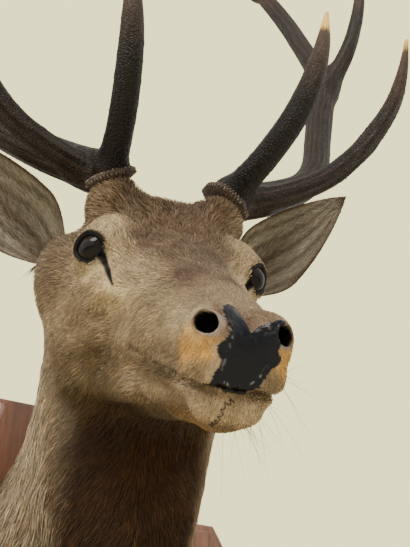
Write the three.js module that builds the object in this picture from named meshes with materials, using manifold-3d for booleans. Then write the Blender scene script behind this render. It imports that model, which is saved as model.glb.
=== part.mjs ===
// Red deer stag head mount: head and neck of a stag with ten-point antlers, on a shield board.
// Millimetres, +Z up, +X to the stag's left, -Y out from the wall. The origin is the middle
// of the board's back face. The skull has a frame of its own: the origin lies midway between
// the eyes, y runs back along the head and z runs up out of the forehead.
import * as THREE from "three";
import { mergeVertices } from "three/addons/utils/BufferGeometryUtils.js";
import Module from "manifold-3d";

const wasm = await Module();
wasm.setup();

// ---- Driving dimensions -------------------------------------------------------------------

const GAP = 0.3; // between touching pieces
const EYE_LINE = { out: 370, up: 270 }; // midpoint of the eyes, from the board's back
const HEAD_DIP = THREE.MathUtils.degToRad(29); // nose below the level
const HEAD_TURN = THREE.MathUtils.degToRad(-6.5); // nose to the stag's right
const TURN = { starts: 60, ends: 290, pivot: 210 }; // along the neck, out from the wall

const BOARD = { height: 600, thick: 22, topHalf: 88, shoulderHalf: 192, bellyHalf: 222, edge: 9 };
const SHOULDER_DROP = 112; // from the board's top down to its shoulders
const BELLY_DROP = 190;

// Sections of the skull with its flesh and coat, from the nose back.
const SKULL = [
  { y: -242, top: -51, bottom: -104, side: 34 }, // nostrils
  { y: -200, top: -30, bottom: -104, side: 41 },
  { y: -150, top: -12, bottom: -102, side: 43 }, // bridge of the nose
  { y: -100, top: 5, bottom: -98, side: 49 },
  { y: -50, top: 24, bottom: -94, side: 61 },
  { y: 0, top: 45, bottom: -92, side: 70 }, // eyes
  { y: 50, top: 70, bottom: -82, side: 70 }, // crown
  { y: 85, top: 58, bottom: -60, side: 66 },
];
// Sections of the lower jaw, from the chin back.
const JAW = [
  { y: -212, top: -90, bottom: -126, side: 24 }, // chin
  { y: -170, top: -85, bottom: -127, side: 31 },
  { y: -110, top: -75, bottom: -128, side: 36 },
  { y: -40, top: -50, bottom: -131, side: 47 },
  { y: 30, top: -40, bottom: -128, side: 56 }, // angle of the jaw
];
// Sections of the neck: the axis runs from the board to the back of the skull.
const NECK = [
  { out: 10, up: 52, deep: 226, side: 108 }, // at the board
  { out: 90, up: 86, deep: 194, side: 96 },
  { out: 165, up: 142, deep: 150, side: 90 },
  { out: 225, up: 212, deep: 111, side: 91 },
  { out: 270, up: 265, deep: 86, side: 93 }, // nape to throat
  { out: 305, up: 292, deep: 70, side: 84 },
];
// Masses that stand out on both sides of the head, in the skull's frame.
const MASSES = {
  brow: { at: [58, 6, 16], size: [26, 30, 26], blend: 22 },
  cheekbone: { at: [60, -12, -30], size: [17, 52, 20], blend: 24 },
  jawMuscle: { at: [48, 22, -70], size: [22, 48, 46], blend: 30 },
  maxilla: { at: [34, -95, -62], size: [16, 46, 26], blend: 24 },
  nostrilWing: { at: [25, -234, -66], size: [13, 20, 17], blend: 12 },
  upperLip: { at: [20, -222, -96], size: [18, 30, 13], blend: 12 },
  lipCorner: { at: [32, -165, -95], size: [10, 36, 10], blend: 18 },
  pedicle: { at: [53, 60, 64], size: [25, 26, 28], blend: 18 },
  earBase: { at: [86, 96, -8], size: [26, 27, 36], blend: 24 },
};
const CHIN = { at: [0, -214, -112], size: [20, 20, 17], blend: 10 };
const NOSE_CAP = 14; // how far the muzzle rounds out past its last section

const EYE = { at: [71, -4, 6.5], radius: 17 };
const LIDS = { at: [82, -17, 7.5], size: [13, 14, 12] }; // opening between the lids
const NOSTRIL = { at: [28, -252, -64], size: [8, 14, 9] };

const PARTING = { out: 266, up: 250, lean: THREE.MathUtils.degToRad(-13) }; // behind the jaw

const BURR = { at: [59, 66, 88], radius: 27.5, thick: 6.5, beads: 13, bead: 1.8 };

// ---- Small tools --------------------------------------------------------------------------

const clamp = THREE.MathUtils.clamp;
const smooth = THREE.MathUtils.smoothstep;

/** Cubic curve through rows of named values; returns a function of the first named key. */
function through(rows, key) {
  const names = Object.keys(rows[0]).filter((name) => name !== key);
  const slope = (i, name) => {
    const a = rows[Math.max(i - 1, 0)];
    const b = rows[Math.min(i + 1, rows.length - 1)];
    return (b[name] - a[name]) / (b[key] - a[key]);
  };
  return (value) => {
    const at = clamp(value, rows[0][key], rows.at(-1)[key]);
    let i = 0;
    while (i < rows.length - 2 && at > rows[i + 1][key]) i += 1;
    const [p, q] = [rows[i], rows[i + 1]];
    const span = q[key] - p[key];
    const t = (at - p[key]) / span;
    const [t2, t3] = [t * t, t * t * t];
    const out = {};
    for (const name of names) {
      out[name] = (2 * t3 - 3 * t2 + 1) * p[name] + (t3 - 2 * t2 + t) * span * slope(i, name)
        + (3 * t2 - 2 * t3) * q[name] + (t3 - t2) * span * slope(i + 1, name);
    }
    return out;
  };
}

/** Union of two distances with a fillet of the given size. */
function blend(a, b, size) {
  const near = Math.max(size - Math.abs(a - b), 0) / size;
  return Math.min(a, b) - near * near * size / 4;
}

/** Distance to an ellipsoid, near enough for a fillet. */
function ellipsoid(x, y, z, { at, size }) {
  const [u, v, w] = [x - at[0], y - at[1], z - at[2]];
  const scaled = Math.hypot(u / size[0], v / size[1], w / size[2]);
  const gradient = Math.hypot(u / size[0] ** 2, v / size[1] ** 2, w / size[2] ** 2);
  return gradient < 1e-9 ? -Math.min(...size) : scaled * (scaled - 1) / gradient;
}

/** Distance to a body whose oval sections stand across y. */
function alongHead(sections, cap) {
  const section = through(sections, "y");
  return (x, y, z) => {
    const nearest = clamp(y, sections[0].y, sections.at(-1).y);
    const { top, bottom, side } = section(nearest);
    const half = (top - bottom) / 2;
    const reach = Math.hypot(x / side, (z - bottom - half) / half, (y - nearest) / cap);
    return (reach - 1) * Math.min(side, half);
  };
}

// ---- Flesh --------------------------------------------------------------------------------

const [dipCos, dipSin] = [Math.cos(HEAD_DIP), Math.sin(HEAD_DIP)];

/** Skull frame to mount frame, before the head's turn. */
function fromSkull([x, y, z]) {
  return [x, y * dipCos - z * dipSin - EYE_LINE.out, y * dipSin + z * dipCos + EYE_LINE.up];
}

/** Turns a point of the flesh with the head: none at the board, all of it at the skull. */
function turned([x, y, z]) {
  const angle = HEAD_TURN * smooth(-y, TURN.starts, TURN.ends);
  const back = y + TURN.pivot;
  return [
    x * Math.cos(angle) - back * Math.sin(angle),
    x * Math.sin(angle) + back * Math.cos(angle) - TURN.pivot,
    z,
  ];
}

const skullShape = alongHead(SKULL, NOSE_CAP);
const jawShape = alongHead(JAW, NOSE_CAP);
const NECK_STEPS = 24;
const neckLine = new THREE.CatmullRomCurve3(NECK.map((s) => new THREE.Vector3(0, -s.out, s.up)));
const neckSize = through(NECK.map(({ deep, side }, i) => ({ t: i / (NECK.length - 1), deep, side })), "t");
const neckPoints = neckLine.getPoints(NECK_STEPS);

/** Distance to the neck: oval sections across a bent axis. */
function neckShape(x, y, z) {
  let best = { gap: Infinity };
  for (let i = 0; i < NECK_STEPS; i += 1) {
    const [a, b] = [neckPoints[i], neckPoints[i + 1]];
    const [dy, dz] = [b.y - a.y, b.z - a.z];
    const length = dy * dy + dz * dz;
    const t = clamp(((y - a.y) * dy + (z - a.z) * dz) / length, 0, 1);
    const [offY, offZ] = [y - a.y - t * dy, z - a.z - t * dz];
    const gap = Math.hypot(offY, offZ);
    if (gap < best.gap) best = { gap, t: (i + t) / NECK_STEPS };
  }
  const { deep, side } = neckSize(best.t);
  return (Math.hypot(x / side, best.gap / deep) - 1) * Math.min(side, deep);
}

/** Distance to the flesh, from a point in the mount frame before the head's turn. */
function flesh(px, py, pz) {
  const out = py + EYE_LINE.out;
  const up = pz - EYE_LINE.up;
  const x = Math.abs(px);
  const y = out * dipCos + up * dipSin;
  const z = up * dipCos - out * dipSin;
  const lips = 6 + 26 * smooth(y, -170, -90);
  let depth = blend(skullShape(x, y, z), jawShape(x, y, z), lips);
  for (const mass of Object.values(MASSES)) depth = blend(depth, ellipsoid(x, y, z, mass), mass.blend);
  depth = blend(depth, ellipsoid(x, y, z, CHIN), CHIN.blend);
  return blend(depth, neckShape(x, py, pz), 45);
}

/** Middle line of head and neck, from which their surface is measured outwards. */
const CORE = [
  { out: BOARD.thick, up: 60 },
  { out: 90, up: 76 },
  { out: 160, up: 124 },
  { out: 225, up: 184 },
  { out: 290, up: 230 }, // behind the jaw
  { out: 350, up: 236 },
  { out: 410, up: 206 },
  { out: 470, up: 154 },
  { out: 528, up: 96 }, // between the nostrils
];
const FLESH_ROWS = 50;
const FLESH_AROUND = 32;
const NOSE_ROWS = 8;
const REACH = 320; // longer than any section is deep
const STRIDE = 5;
const SQUARE_TO_BOARD = 0.62; // share of the core over which its sections swing off the board

/** How far the flesh reaches from a point along a direction. */
function reachOf(from, along, skin) {
  const depth = (r) => flesh(from.x + r * along.x, from.y + r * along.y, from.z + r * along.z) - skin;
  let far = STRIDE;
  while (far < REACH && depth(far) < 0) far += STRIDE;
  let near = far - STRIDE;
  for (let i = 0; i < 14; i += 1) {
    const middle = (near + far) / 2;
    if (depth(middle) < 0) near = middle;
    else far = middle;
  }
  return near;
}

/** Head and neck in one closed surface, standing off by the given distance. */
function fleshSolid(skin) {
  const core = new THREE.CatmullRomCurve3(CORE.map((p) => new THREE.Vector3(0, -p.out, p.up)));
  const bodyRows = FLESH_ROWS - NOSE_ROWS - 1;
  const across = new THREE.Vector3(1, 0, 0);
  return shaped(FLESH_AROUND, FLESH_ROWS, (row, angle) => {
    const share = clamp((row - NOSE_ROWS) / bodyRows, 0, 1);
    const from = core.getPointAt(1 - share);
    from.y = Math.min(from.y, -BOARD.thick - GAP);
    if (row === FLESH_ROWS) return from.toArray();
    const swing = smooth(1 - share, 0, SQUARE_TO_BOARD);
    const forward = new THREE.Vector3(0, -1, 0).lerp(core.getTangentAt(1 - share), swing).normalize();
    const upward = new THREE.Vector3().crossVectors(across, forward).negate();
    const tilt = Math.PI / 2 * clamp(1 - row / NOSE_ROWS, 0, 1);
    const ray = new THREE.Vector3()
      .addScaledVector(across, Math.cos(angle) * Math.cos(tilt))
      .addScaledVector(upward, Math.sin(angle) * Math.cos(tilt))
      .addScaledVector(forward, Math.sin(tilt));
    return turned(from.addScaledVector(ray, reachOf(from, ray, skin)).toArray());
  });
}

// ---- Solids -------------------------------------------------------------------------------

/** A closed surface on a sphere's net: place(row, angle) gives each corner. */
function shaped(around, rows, place) {
  const geometry = new THREE.SphereGeometry(1, around, rows);
  const corners = geometry.attributes.position;
  for (let row = 0; row <= rows; row += 1) {
    for (let i = 0; i <= around; i += 1) {
      const angle = row % rows === 0 ? 0 : (i % around) / around * Math.PI * 2; // one point at a pole
      corners.setXYZ(row * (around + 1) + i, ...place(row, angle));
    }
  }
  return solidOf(geometry);
}

/** A manifold solid from a three.js geometry. */
function solidOf(geometry) {
  geometry.deleteAttribute("normal");
  geometry.deleteAttribute("uv");
  const merged = mergeVertices(geometry, 1e-4);
  const vertProperties = new Float32Array(merged.attributes.position.array);
  const triVerts = new Uint32Array(merged.index.array);
  const mesh = new wasm.Mesh({ numProp: 3, vertProperties, triVerts });
  const solid = new wasm.Manifold(mesh);
  if (solid.volume() > 0) return solid;
  for (let i = 0; i < triVerts.length; i += 3) {
    [triVerts[i], triVerts[i + 1]] = [triVerts[i + 1], triVerts[i]];
  }
  return new wasm.Manifold(new wasm.Mesh({ numProp: 3, vertProperties, triVerts }));
}

/** A three.js geometry placed by a position, as a solid. */
function placed(geometry, at, scale = [1, 1, 1]) {
  geometry.scale(...scale);
  geometry.translate(...at);
  return solidOf(geometry);
}

/** Joins the axes across, forward and up into a frame at a point. */
function frameAt(at, long, face) {
  const up = new THREE.Vector3(...long).normalize();
  const front = new THREE.Vector3(...face).addScaledVector(up, -up.dot(new THREE.Vector3(...face)));
  front.normalize();
  const side = new THREE.Vector3().crossVectors(up, front);
  const origin = new THREE.Vector3(...at);
  return (s, f, u) => origin.clone()
    .addScaledVector(side, s).addScaledVector(front, f).addScaledVector(up, u).toArray();
}

/** A point of the skull on either side, with the head's turn: side is 1 left, -1 right. */
function onHead([x, y, z], side) {
  return turned(fromSkull([side * x, y, z]));
}

// The stag's right side hangs a little lower, by these shares of its spread, and its brow tine
// stands steeper.
const DROOP = { ear: 0.18, beam: 0.14, bez: 0.24, brow: 0 };
const RIGHT_BROW_SPREAD = 0.8;

// ---- Ears ---------------------------------------------------------------------------------

const EAR = { at: [93, 100, 9], length: 183, half: 40, thick: 3.2, cup: 26 };
const EAR_LONG = [0.68, -0.2, 0.71]; // from root to tip, in the mount's axes
const EAR_FACE = [0.3, -0.95, -0.1]; // the way its hollow looks
const EAR_AROUND = 14;
const EAR_ROWS = 13;

/** A pointed leaf, cupped along its length: rolled at the root and nearly flat at the tip. */
function earSolid(side) {
  const root = fromSkull(EAR.at);
  const frame = frameAt(root, EAR_LONG, EAR_FACE);
  const place = (row, angle) => {
    const t = 1 - row / EAR_ROWS; // tip first
    const half = EAR.half * Math.sin(Math.PI * t ** 0.62) ** 0.72 * (0.62 + 0.38 * smooth(t, 0, 0.4));
    const across = Math.cos(angle);
    const cup = EAR.cup * (1 - t) ** 0.7 * Math.sqrt(Math.sin(Math.PI * Math.min(t + 0.12, 1)));
    const wall = EAR.thick * (0.6 + 1.6 * (1 - t) ** 2) * Math.sin(angle);
    const bend = 10 * Math.sin(Math.PI * t);
    return frame(half * across, cup * across * across - cup + wall - bend, EAR.length * t - 6);
  };
  return shaped(EAR_AROUND, EAR_ROWS, (row, angle) => {
    const [x, y, z] = place(row, angle);
    return turned([side * x, y, side < 0 ? z - DROOP.ear * (x - 70) : z]);
  });
}

// ---- Antlers ------------------------------------------------------------------------------

const ROD_AROUND = 9;

// Middle lines of one antler from its burr: outward, back and up. Girths are radii.
const BEAM_LOWER = {
  line: [[0, 0, 0], [20, 12, 17], [54, 34, 46], [98, 54, 83], [140, 73, 127], [164, 84, 172],
    [175, 90, 224], [184, 93, 275], [194, 92, 340]],
  girths: [21, 20, 18.5, 17.5, 17, 17.5, 19],
  droop: DROOP.beam,
};
const BROW_TINE = {
  line: [[3, 4, 8], [9, -34, 10], [18, -70, 22], [27, -100, 42], [35, -122, 72], [42, -134, 110],
    [49, -138, 160]],
  girths: [16.5, 14, 13.3, 12, 8.3, 2.6],
  droop: DROOP.brow,
  spread: RIGHT_BROW_SPREAD,
};
const BEZ_TINE = {
  line: [[22, 10, 16], [48, 0, 21], [82, -8, 38], [114, -18, 60], [142, -31, 90], [164, -46, 124],
    [180, -61, 160], [189, -73, 200], [193, -84, 243]],
  girths: [14, 12.5, 12, 10.8, 7.8, 2.6],
  droop: DROOP.bez,
};
const TREZ_TINE = {
  line: [[190, 92, 312], [203, 74, 342], [211, 55, 370], [217, 38, 408], [220, 26, 450], [220, 20, 496]],
  girths: [13, 11.5, 9.5, 7.5, 2.6],
  droop: DROOP.beam,
};
const BEAM_UPPER = {
  line: [[193, 94, 322], [194, 108, 376], [185, 127, 440], [172, 147, 506], [158, 168, 566],
    [144, 192, 622], [130, 212, 682]],
  girths: [17, 14.5, 13.5, 13, 12, 8.5, 2.6],
  droop: DROOP.beam,
};
const CROWN_TINE = {
  line: [[150, 182, 594], [146, 168, 626], [144, 150, 660], [145, 136, 698], [148, 130, 736]],
  girths: [11, 10, 8.5, 6, 2.4],
  droop: DROOP.beam,
};
const BURR_AXIS = [0.5, -0.3, 0.8];

/** A tapering rod along a line, rounded at its ends; grow makes it thicker all round. */
function rod({ line, girths, droop, spread = 1 }, root, side, rows, grow = 0) {
  const sag = side < 0 ? droop : 0;
  const reach = side < 0 ? -spread : 1;
  const points = line.map(([x, y, z]) => (
    new THREE.Vector3(root[0] + reach * x, root[1] + y, root[2] + z - sag * x)));
  const curve = new THREE.CatmullRomCurve3(points);
  const steps = rows * 4;
  const { normals, binormals } = curve.computeFrenetFrames(steps);
  const size = through(girths.map((girth, i) => ({ t: i / (girths.length - 1), girth })), "t");
  return shaped(ROD_AROUND, rows, (row, angle) => {
    const t = 1 - row / rows;
    const step = Math.round(t * steps);
    const round = Math.sqrt(Math.max(1 - t ** 40, 0)) * Math.sqrt(Math.max(1 - (1 - t) ** 40, 0));
    const radius = round * (size(t).girth + grow);
    return curve.getPointAt(t)
      .addScaledVector(normals[step], radius * Math.cos(angle))
      .addScaledVector(binormals[step], radius * Math.sin(angle)).toArray();
  });
}

/** The beaded ring at an antler's root. */
function burrSolid(root, side, grow = 0) {
  const frame = frameAt(root, [side * BURR_AXIS[0], BURR_AXIS[1], BURR_AXIS[2]], [0, -1, 0]);
  const rows = 6;
  const place = (row, angle) => {
    const lift = Math.PI * row / rows;
    const bead = BURR.bead * Math.cos(BURR.beads * angle) * Math.sin(lift);
    const radius = (BURR.radius + grow) * Math.sin(lift) ** 0.55 + bead;
    return frame(radius * Math.cos(angle), radius * Math.sin(angle), (BURR.thick + grow) * Math.cos(lift));
  };
  return shaped(BURR.beads * 2, rows, place);
}

/** Every piece of one antler, each cut clear of the piece that it grows from. */
function antlerPieces(side) {
  const root = onHead(BURR.at, side);
  const lower = rod(BEAM_LOWER, root, side, 15).subtract(burrSolid(root, side, GAP));
  const lowerGrown = rod(BEAM_LOWER, root, side, 15, GAP);
  const burrGrown = burrSolid(root, side, GAP);
  const brow = rod(BROW_TINE, root, side, 13).subtract(lowerGrown).subtract(burrGrown);
  const bez = rod(BEZ_TINE, root, side, 13).subtract(lowerGrown).subtract(burrGrown)
    .subtract(rod(BROW_TINE, root, side, 13, GAP));
  const trez = rod(TREZ_TINE, root, side, 11).subtract(lowerGrown);
  const upper = rod(BEAM_UPPER, root, side, 13).subtract(lowerGrown)
    .subtract(rod(TREZ_TINE, root, side, 11, GAP));
  const crown = rod(CROWN_TINE, root, side, 9).subtract(rod(BEAM_UPPER, root, side, 13, GAP));
  return {
    burr: burrSolid(root, side), beam_lower: largest(lower), brow_tine: largest(brow),
    bez_tine: largest(bez), trez_tine: largest(trez), beam_upper: largest(upper),
    crown_tine: largest(crown),
  };
}

/** The biggest body of a solid that a cut has left in several. */
function largest(solid) {
  return solid.decompose().reduce((best, body) => (body.volume() > best.volume() ? body : best));
}

// ---- Board --------------------------------------------------------------------------------

/** Half of the shield's outline from the top middle round to its point, then mirrored. */
function shieldOutline() {
  const top = BOARD.height / 2;
  const { topHalf, shoulderHalf, bellyHalf } = BOARD;
  const shoulder = top - SHOULDER_DROP;
  const belly = top - BELLY_DROP;
  const shape = new THREE.Shape();
  shape.moveTo(topHalf, top);
  shape.bezierCurveTo(topHalf + 14, top - 60, topHalf + 40, shoulder + 2, shoulderHalf - 26, shoulder);
  shape.lineTo(shoulderHalf, shoulder);
  shape.quadraticCurveTo(bellyHalf, belly + 30, bellyHalf, belly);
  shape.bezierCurveTo(bellyHalf, belly - 190, 96, -top + 70, 0, -top);
  shape.bezierCurveTo(-96, -top + 70, -bellyHalf, belly - 190, -bellyHalf, belly);
  shape.quadraticCurveTo(-bellyHalf, belly + 30, -shoulderHalf, shoulder);
  shape.lineTo(-shoulderHalf + 26, shoulder);
  shape.bezierCurveTo(-topHalf - 40, shoulder + 2, -topHalf - 14, top - 60, -topHalf, top);
  shape.closePath();
  return shape;
}

/** The board: a shield with a moulded front edge and a flat back on the wall. */
function boardSolid() {
  const { thick, edge } = BOARD;
  const geometry = new THREE.ExtrudeGeometry(shieldOutline(), {
    depth: thick, curveSegments: 8, bevelSegments: 2, bevelThickness: edge, bevelSize: edge, bevelOffset: -edge,
  });
  geometry.rotateX(Math.PI / 2); // the extrusion now runs towards -y
  geometry.translate(0, edge, 0);
  const behind = new THREE.BoxGeometry(3 * BOARD.bellyHalf, 4 * thick, 2 * BOARD.height);
  return solidOf(geometry).subtract(placed(behind, [0, 2 * thick, 0]));
}

// ---- Assembly -----------------------------------------------------------------------------

const FINISHES = {
  coat: { color: 0x8a6f4f, roughness: 0.95, metalness: 0 },
  ear: { color: 0x7d6b56, roughness: 0.95, metalness: 0 },
  glass: { color: 0x0c0f14, roughness: 0.05, metalness: 0 },
  antler: { color: 0x3b2a20, roughness: 0.6, metalness: 0 },
  mahogany: { color: 0x5a2d1c, roughness: 0.4, metalness: 0 },
};

const stag = new THREE.Group();

/** Adds one solid to the mount as a named mesh. */
function add(name, solid, finish) {
  const { vertProperties, triVerts, numProp } = solid.getMesh();
  const geometry = new THREE.BufferGeometry();
  const corners = new Float32Array(vertProperties.length / numProp * 3);
  for (let i = 0; i < corners.length; i += 1) {
    corners[i] = vertProperties[Math.floor(i / 3) * numProp + i % 3];
  }
  geometry.setAttribute("position", new THREE.BufferAttribute(corners, 3));
  geometry.setIndex(new THREE.BufferAttribute(new Uint32Array(triVerts), 1));
  const mesh = new THREE.Mesh(geometry, new THREE.MeshStandardMaterial(FINISHES[finish]));
  mesh.name = name;
  stag.add(mesh);
}

/** The flesh with its eye sockets and nostrils, parted behind the jaw. */
function fleshParts() {
  let body = fleshSolid(0);
  for (const side of [1, -1]) {
    const socket = onHead(EYE.at, side);
    body = body.subtract(placed(new THREE.SphereGeometry(EYE.radius + GAP, 14, 10), socket));
    const lids = onHead(LIDS.at, side);
    body = body.subtract(placed(new THREE.SphereGeometry(1, 12, 8), lids, LIDS.size));
    const hole = onHead(NOSTRIL.at, side);
    body = body.subtract(placed(new THREE.SphereGeometry(1, 9, 6), hole, NOSTRIL.size));
  }
  const blade = new THREE.BoxGeometry(800, GAP, 800);
  blade.rotateX(PARTING.lean);
  body = body.subtract(placed(blade, [0, -PARTING.out, PARTING.up]));
  const [neck, head] = body.decompose()
    .filter((piece) => piece.volume() > 1e4)
    .sort((a, b) => b.boundingBox().max[1] - a.boundingBox().max[1]);
  return { neck, head };
}

const { neck, head } = fleshParts();
const fleshGrown = fleshSolid(GAP);
add("board", boardSolid(), "mahogany");
add("neck", neck, "coat");
add("head", head, "coat");
for (const [name, side] of [["left", 1], ["right", -1]]) {
  add(`ear_${name}`, largest(earSolid(side).subtract(fleshGrown)), "ear");
  add(`eye_${name}`, placed(new THREE.SphereGeometry(EYE.radius, 14, 10), onHead(EYE.at, side)), "glass");
  for (const [piece, solid] of Object.entries(antlerPieces(side))) {
    add(`${piece}_${name}`, largest(solid.subtract(fleshGrown)), "antler");
  }
}

export default stag;
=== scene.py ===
"""Red deer stag head mount: skin, coat, glass eyes, antlers and mahogany board.

Lengths are millimetres in the sizes below and metres in Blender. The mount's frame has its
origin at the middle of the board's back, +X to the stag's left, +Y into the wall and +Z up.
The skull's frame has its origin midway between the eyes, y back along the head and z up
out of the forehead.
"""
import logging
import math
from dataclasses import dataclass
from enum import Enum

import bmesh
import bpy
import numpy as np
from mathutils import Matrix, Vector


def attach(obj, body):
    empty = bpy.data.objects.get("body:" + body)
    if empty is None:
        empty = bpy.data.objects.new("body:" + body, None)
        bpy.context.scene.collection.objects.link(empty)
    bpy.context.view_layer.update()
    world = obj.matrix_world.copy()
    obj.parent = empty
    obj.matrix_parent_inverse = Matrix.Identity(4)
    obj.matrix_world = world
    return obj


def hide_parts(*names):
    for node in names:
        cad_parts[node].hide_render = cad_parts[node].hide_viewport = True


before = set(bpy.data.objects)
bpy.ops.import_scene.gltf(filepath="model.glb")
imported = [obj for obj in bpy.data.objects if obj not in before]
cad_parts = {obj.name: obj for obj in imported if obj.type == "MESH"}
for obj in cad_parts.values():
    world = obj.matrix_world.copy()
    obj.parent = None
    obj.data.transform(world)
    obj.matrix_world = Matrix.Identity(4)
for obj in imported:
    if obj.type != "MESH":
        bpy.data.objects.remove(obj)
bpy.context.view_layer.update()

LOG = logging.getLogger("stag")
MM = 0.001
ROOT = "root"
SEED = 1911
PATCH = 0.003  # side of a tuft's patch on the unwrap
WALL = 22.0  # how far the board's front stands out
Array = np.ndarray
Colour = tuple[float, float, float]


# ---- Mathematics ---------------------------------------------------------------------------


def smooth(value: Array, low: float, high: float) -> Array:
    """Smooth step from 0 at low to 1 at high."""
    share = np.clip((value - low) / (high - low), 0.0, 1.0)
    return share * share * (3.0 - 2.0 * share)


def unit(vectors: Array) -> Array:
    """Vectors scaled to length 1."""
    return vectors / np.maximum(np.linalg.norm(vectors, axis=-1, keepdims=True), 1e-12)


def blend(a: Array, b: Array, size: float | Array) -> Array:
    """Union of two distances with a fillet of the given size."""
    near = np.maximum(size - np.abs(a - b), 0.0) / size
    return np.minimum(a, b) - near * near * size / 4.0


def carve(a: Array, b: Array, size: float) -> Array:
    """Distance a with b cut out of it, with a rounded edge of the given size."""
    return -blend(-a, b, size)


def hermite(t: Array) -> tuple[Array, Array, Array, Array]:
    """Weights of a cubic's start, of its slope there, of its end and of its slope there."""
    t2, t3 = t * t, t * t * t
    return 2 * t3 - 3 * t2 + 1, t3 - 2 * t2 + t, 3 * t2 - 2 * t3, t3 - t2


class Curve:
    """Cubic curve through rows of numbers, by their first column."""

    def __init__(self, rows: list[tuple[float, ...]]) -> None:
        """Takes the rows in rising order of their first number."""
        table = np.array(rows, float)
        self.keys, self.values = table[:, 0], table[:, 1:]
        last = len(rows) - 1
        before = np.maximum(np.arange(last + 1) - 1, 0)
        after = np.minimum(np.arange(last + 1) + 1, last)
        run = (self.keys[after] - self.keys[before])[:, None]
        self.slopes = (self.values[after] - self.values[before]) / run

    def __call__(self, at: Array) -> Array:
        """Values at each place, one column for each of the rows' other numbers."""
        at = np.clip(at, self.keys[0], self.keys[-1])
        i = np.clip(np.searchsorted(self.keys, at, side="right") - 1, 0, len(self.keys) - 2)
        span = self.keys[i + 1] - self.keys[i]
        t = ((at - self.keys[i]) / span)[..., None]
        span = span[..., None]
        a, b, c, d = hermite(t)
        return (a * self.values[i] + b * span * self.slopes[i]
                + c * self.values[i + 1] + d * span * self.slopes[i + 1])


def catmull_rom(points: Array, steps: int) -> Array:
    """Centripetal curve through points, as the solids' curves are.

    Args:
        points: Points that the curve passes.
        steps: Number of stretches of the result.

    Returns:
        steps + 1 points along the curve, evenly spaced in its parameter.
    """
    ends = np.vstack([2 * points[0] - points[1], points, 2 * points[-1] - points[-2]])
    result = []
    for at in np.linspace(0, len(points) - 1, steps + 1):
        i = min(int(at), len(points) - 2)
        t = at - i
        p0, p1, p2, p3 = ends[i:i + 4]
        knots = [np.linalg.norm(b - a) ** 0.5 for a, b in ((p0, p1), (p1, p2), (p2, p3))]
        d0, d1, d2 = (max(k, 1e-6) for k in knots)
        m1 = ((p1 - p0) / d0 - (p2 - p0) / (d0 + d1) + (p2 - p1) / d1) * d1
        m2 = ((p2 - p1) / d1 - (p3 - p1) / (d1 + d2) + (p3 - p2) / d2) * d1
        a, b, c, d = hermite(t)
        result.append(a * p1 + b * m1 + c * p2 + d * m2)
    return np.array(result)


def along_length(points: Array, shares: Array) -> Array:
    """Points at shares of a line's length."""
    steps = np.linalg.norm(np.diff(points, axis=0), axis=1)
    travelled = np.concatenate([[0.0], np.cumsum(steps)])
    want = np.clip(shares, 0, 1) * travelled[-1]
    return np.stack([np.interp(want, travelled, points[:, k]) for k in range(3)], axis=-1)


def value_noise(points: Array, scale: float, seed: int) -> Array:
    """Smooth random values from -1 to 1 over space.

    Args:
        points: Places, in millimetres.
        scale: Size of the pattern's cells, in millimetres.
        seed: Chooses the pattern.

    Returns:
        One value for each place.
    """
    at = points / scale
    cell = np.floor(at).astype(np.int64)
    t = at - cell
    t = t * t * (3 - 2 * t)

    def corner(dx: int, dy: int, dz: int) -> Array:
        """Random value of a cell's corner."""
        n = ((cell[..., 0] + dx) * 73856093) ^ ((cell[..., 1] + dy) * 19349663)
        n = n ^ ((cell[..., 2] + dz) * 83492791) ^ (seed * 2654435761)
        n = (n ^ (n >> 13)) * 1274126177
        return ((n ^ (n >> 16)) & 0xFFFF) / 32767.5 - 1.0

    total = 0.0
    for steps in np.ndindex(2, 2, 2):
        weight = math.prod(t[..., k] if step else 1 - t[..., k] for k, step in enumerate(steps))
        total = total + weight * corner(*steps)
    return total


def to_left(points: Array) -> tuple[Array, Array, Array]:
    """Coordinates of points, with those on the right brought over to the left."""
    return np.abs(points[..., 0]), points[..., 1], points[..., 2]


# ---- The animal's shape --------------------------------------------------------------------


@dataclass(frozen=True)
class Mass:
    """A rounded mass of the head: place and half sizes in the skull's frame, and its fillet."""

    at: tuple[float, float, float]
    size: tuple[float, float, float]
    fillet: float = 10.0

    def distance(self, x: Array, y: Array, z: Array) -> Array:
        """Distance to the mass, near enough for a fillet."""
        u, v, w = x - self.at[0], y - self.at[1], z - self.at[2]
        a, b, c = self.size
        scaled = np.sqrt((u / a) ** 2 + (v / b) ** 2 + (w / c) ** 2)
        slope = np.sqrt((u / a**2) ** 2 + (v / b**2) ** 2 + (w / c**2) ** 2)
        return scaled * (scaled - 1) / np.maximum(slope, 1e-6)


@dataclass(frozen=True)
class Groove:
    """A groove along a line of the head: points in the skull's frame, radii and softness."""

    line: tuple[tuple[float, float, float], ...]
    radius: float
    fillet: float
    tail: float | None = None  # radius at the line's end, where it differs

    def distance(self, x: Array, y: Array, z: Array) -> Array:
        """Distance to the groove's round section."""
        best = np.full(np.shape(x), 1e9)
        p = np.stack([x, y, z], -1)
        tail = self.radius if self.tail is None else self.tail
        last = len(self.line) - 1
        for i in range(last):
            a, b = np.array(self.line[i], float), np.array(self.line[i + 1], float)
            ab = b - a
            t = np.clip((p - a) @ ab / (ab @ ab), 0, 1)
            radius = self.radius + (tail - self.radius) * (i + t) / last
            best = np.minimum(best, np.linalg.norm(p - a - t[..., None] * ab, axis=-1) - radius)
        return best


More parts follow.
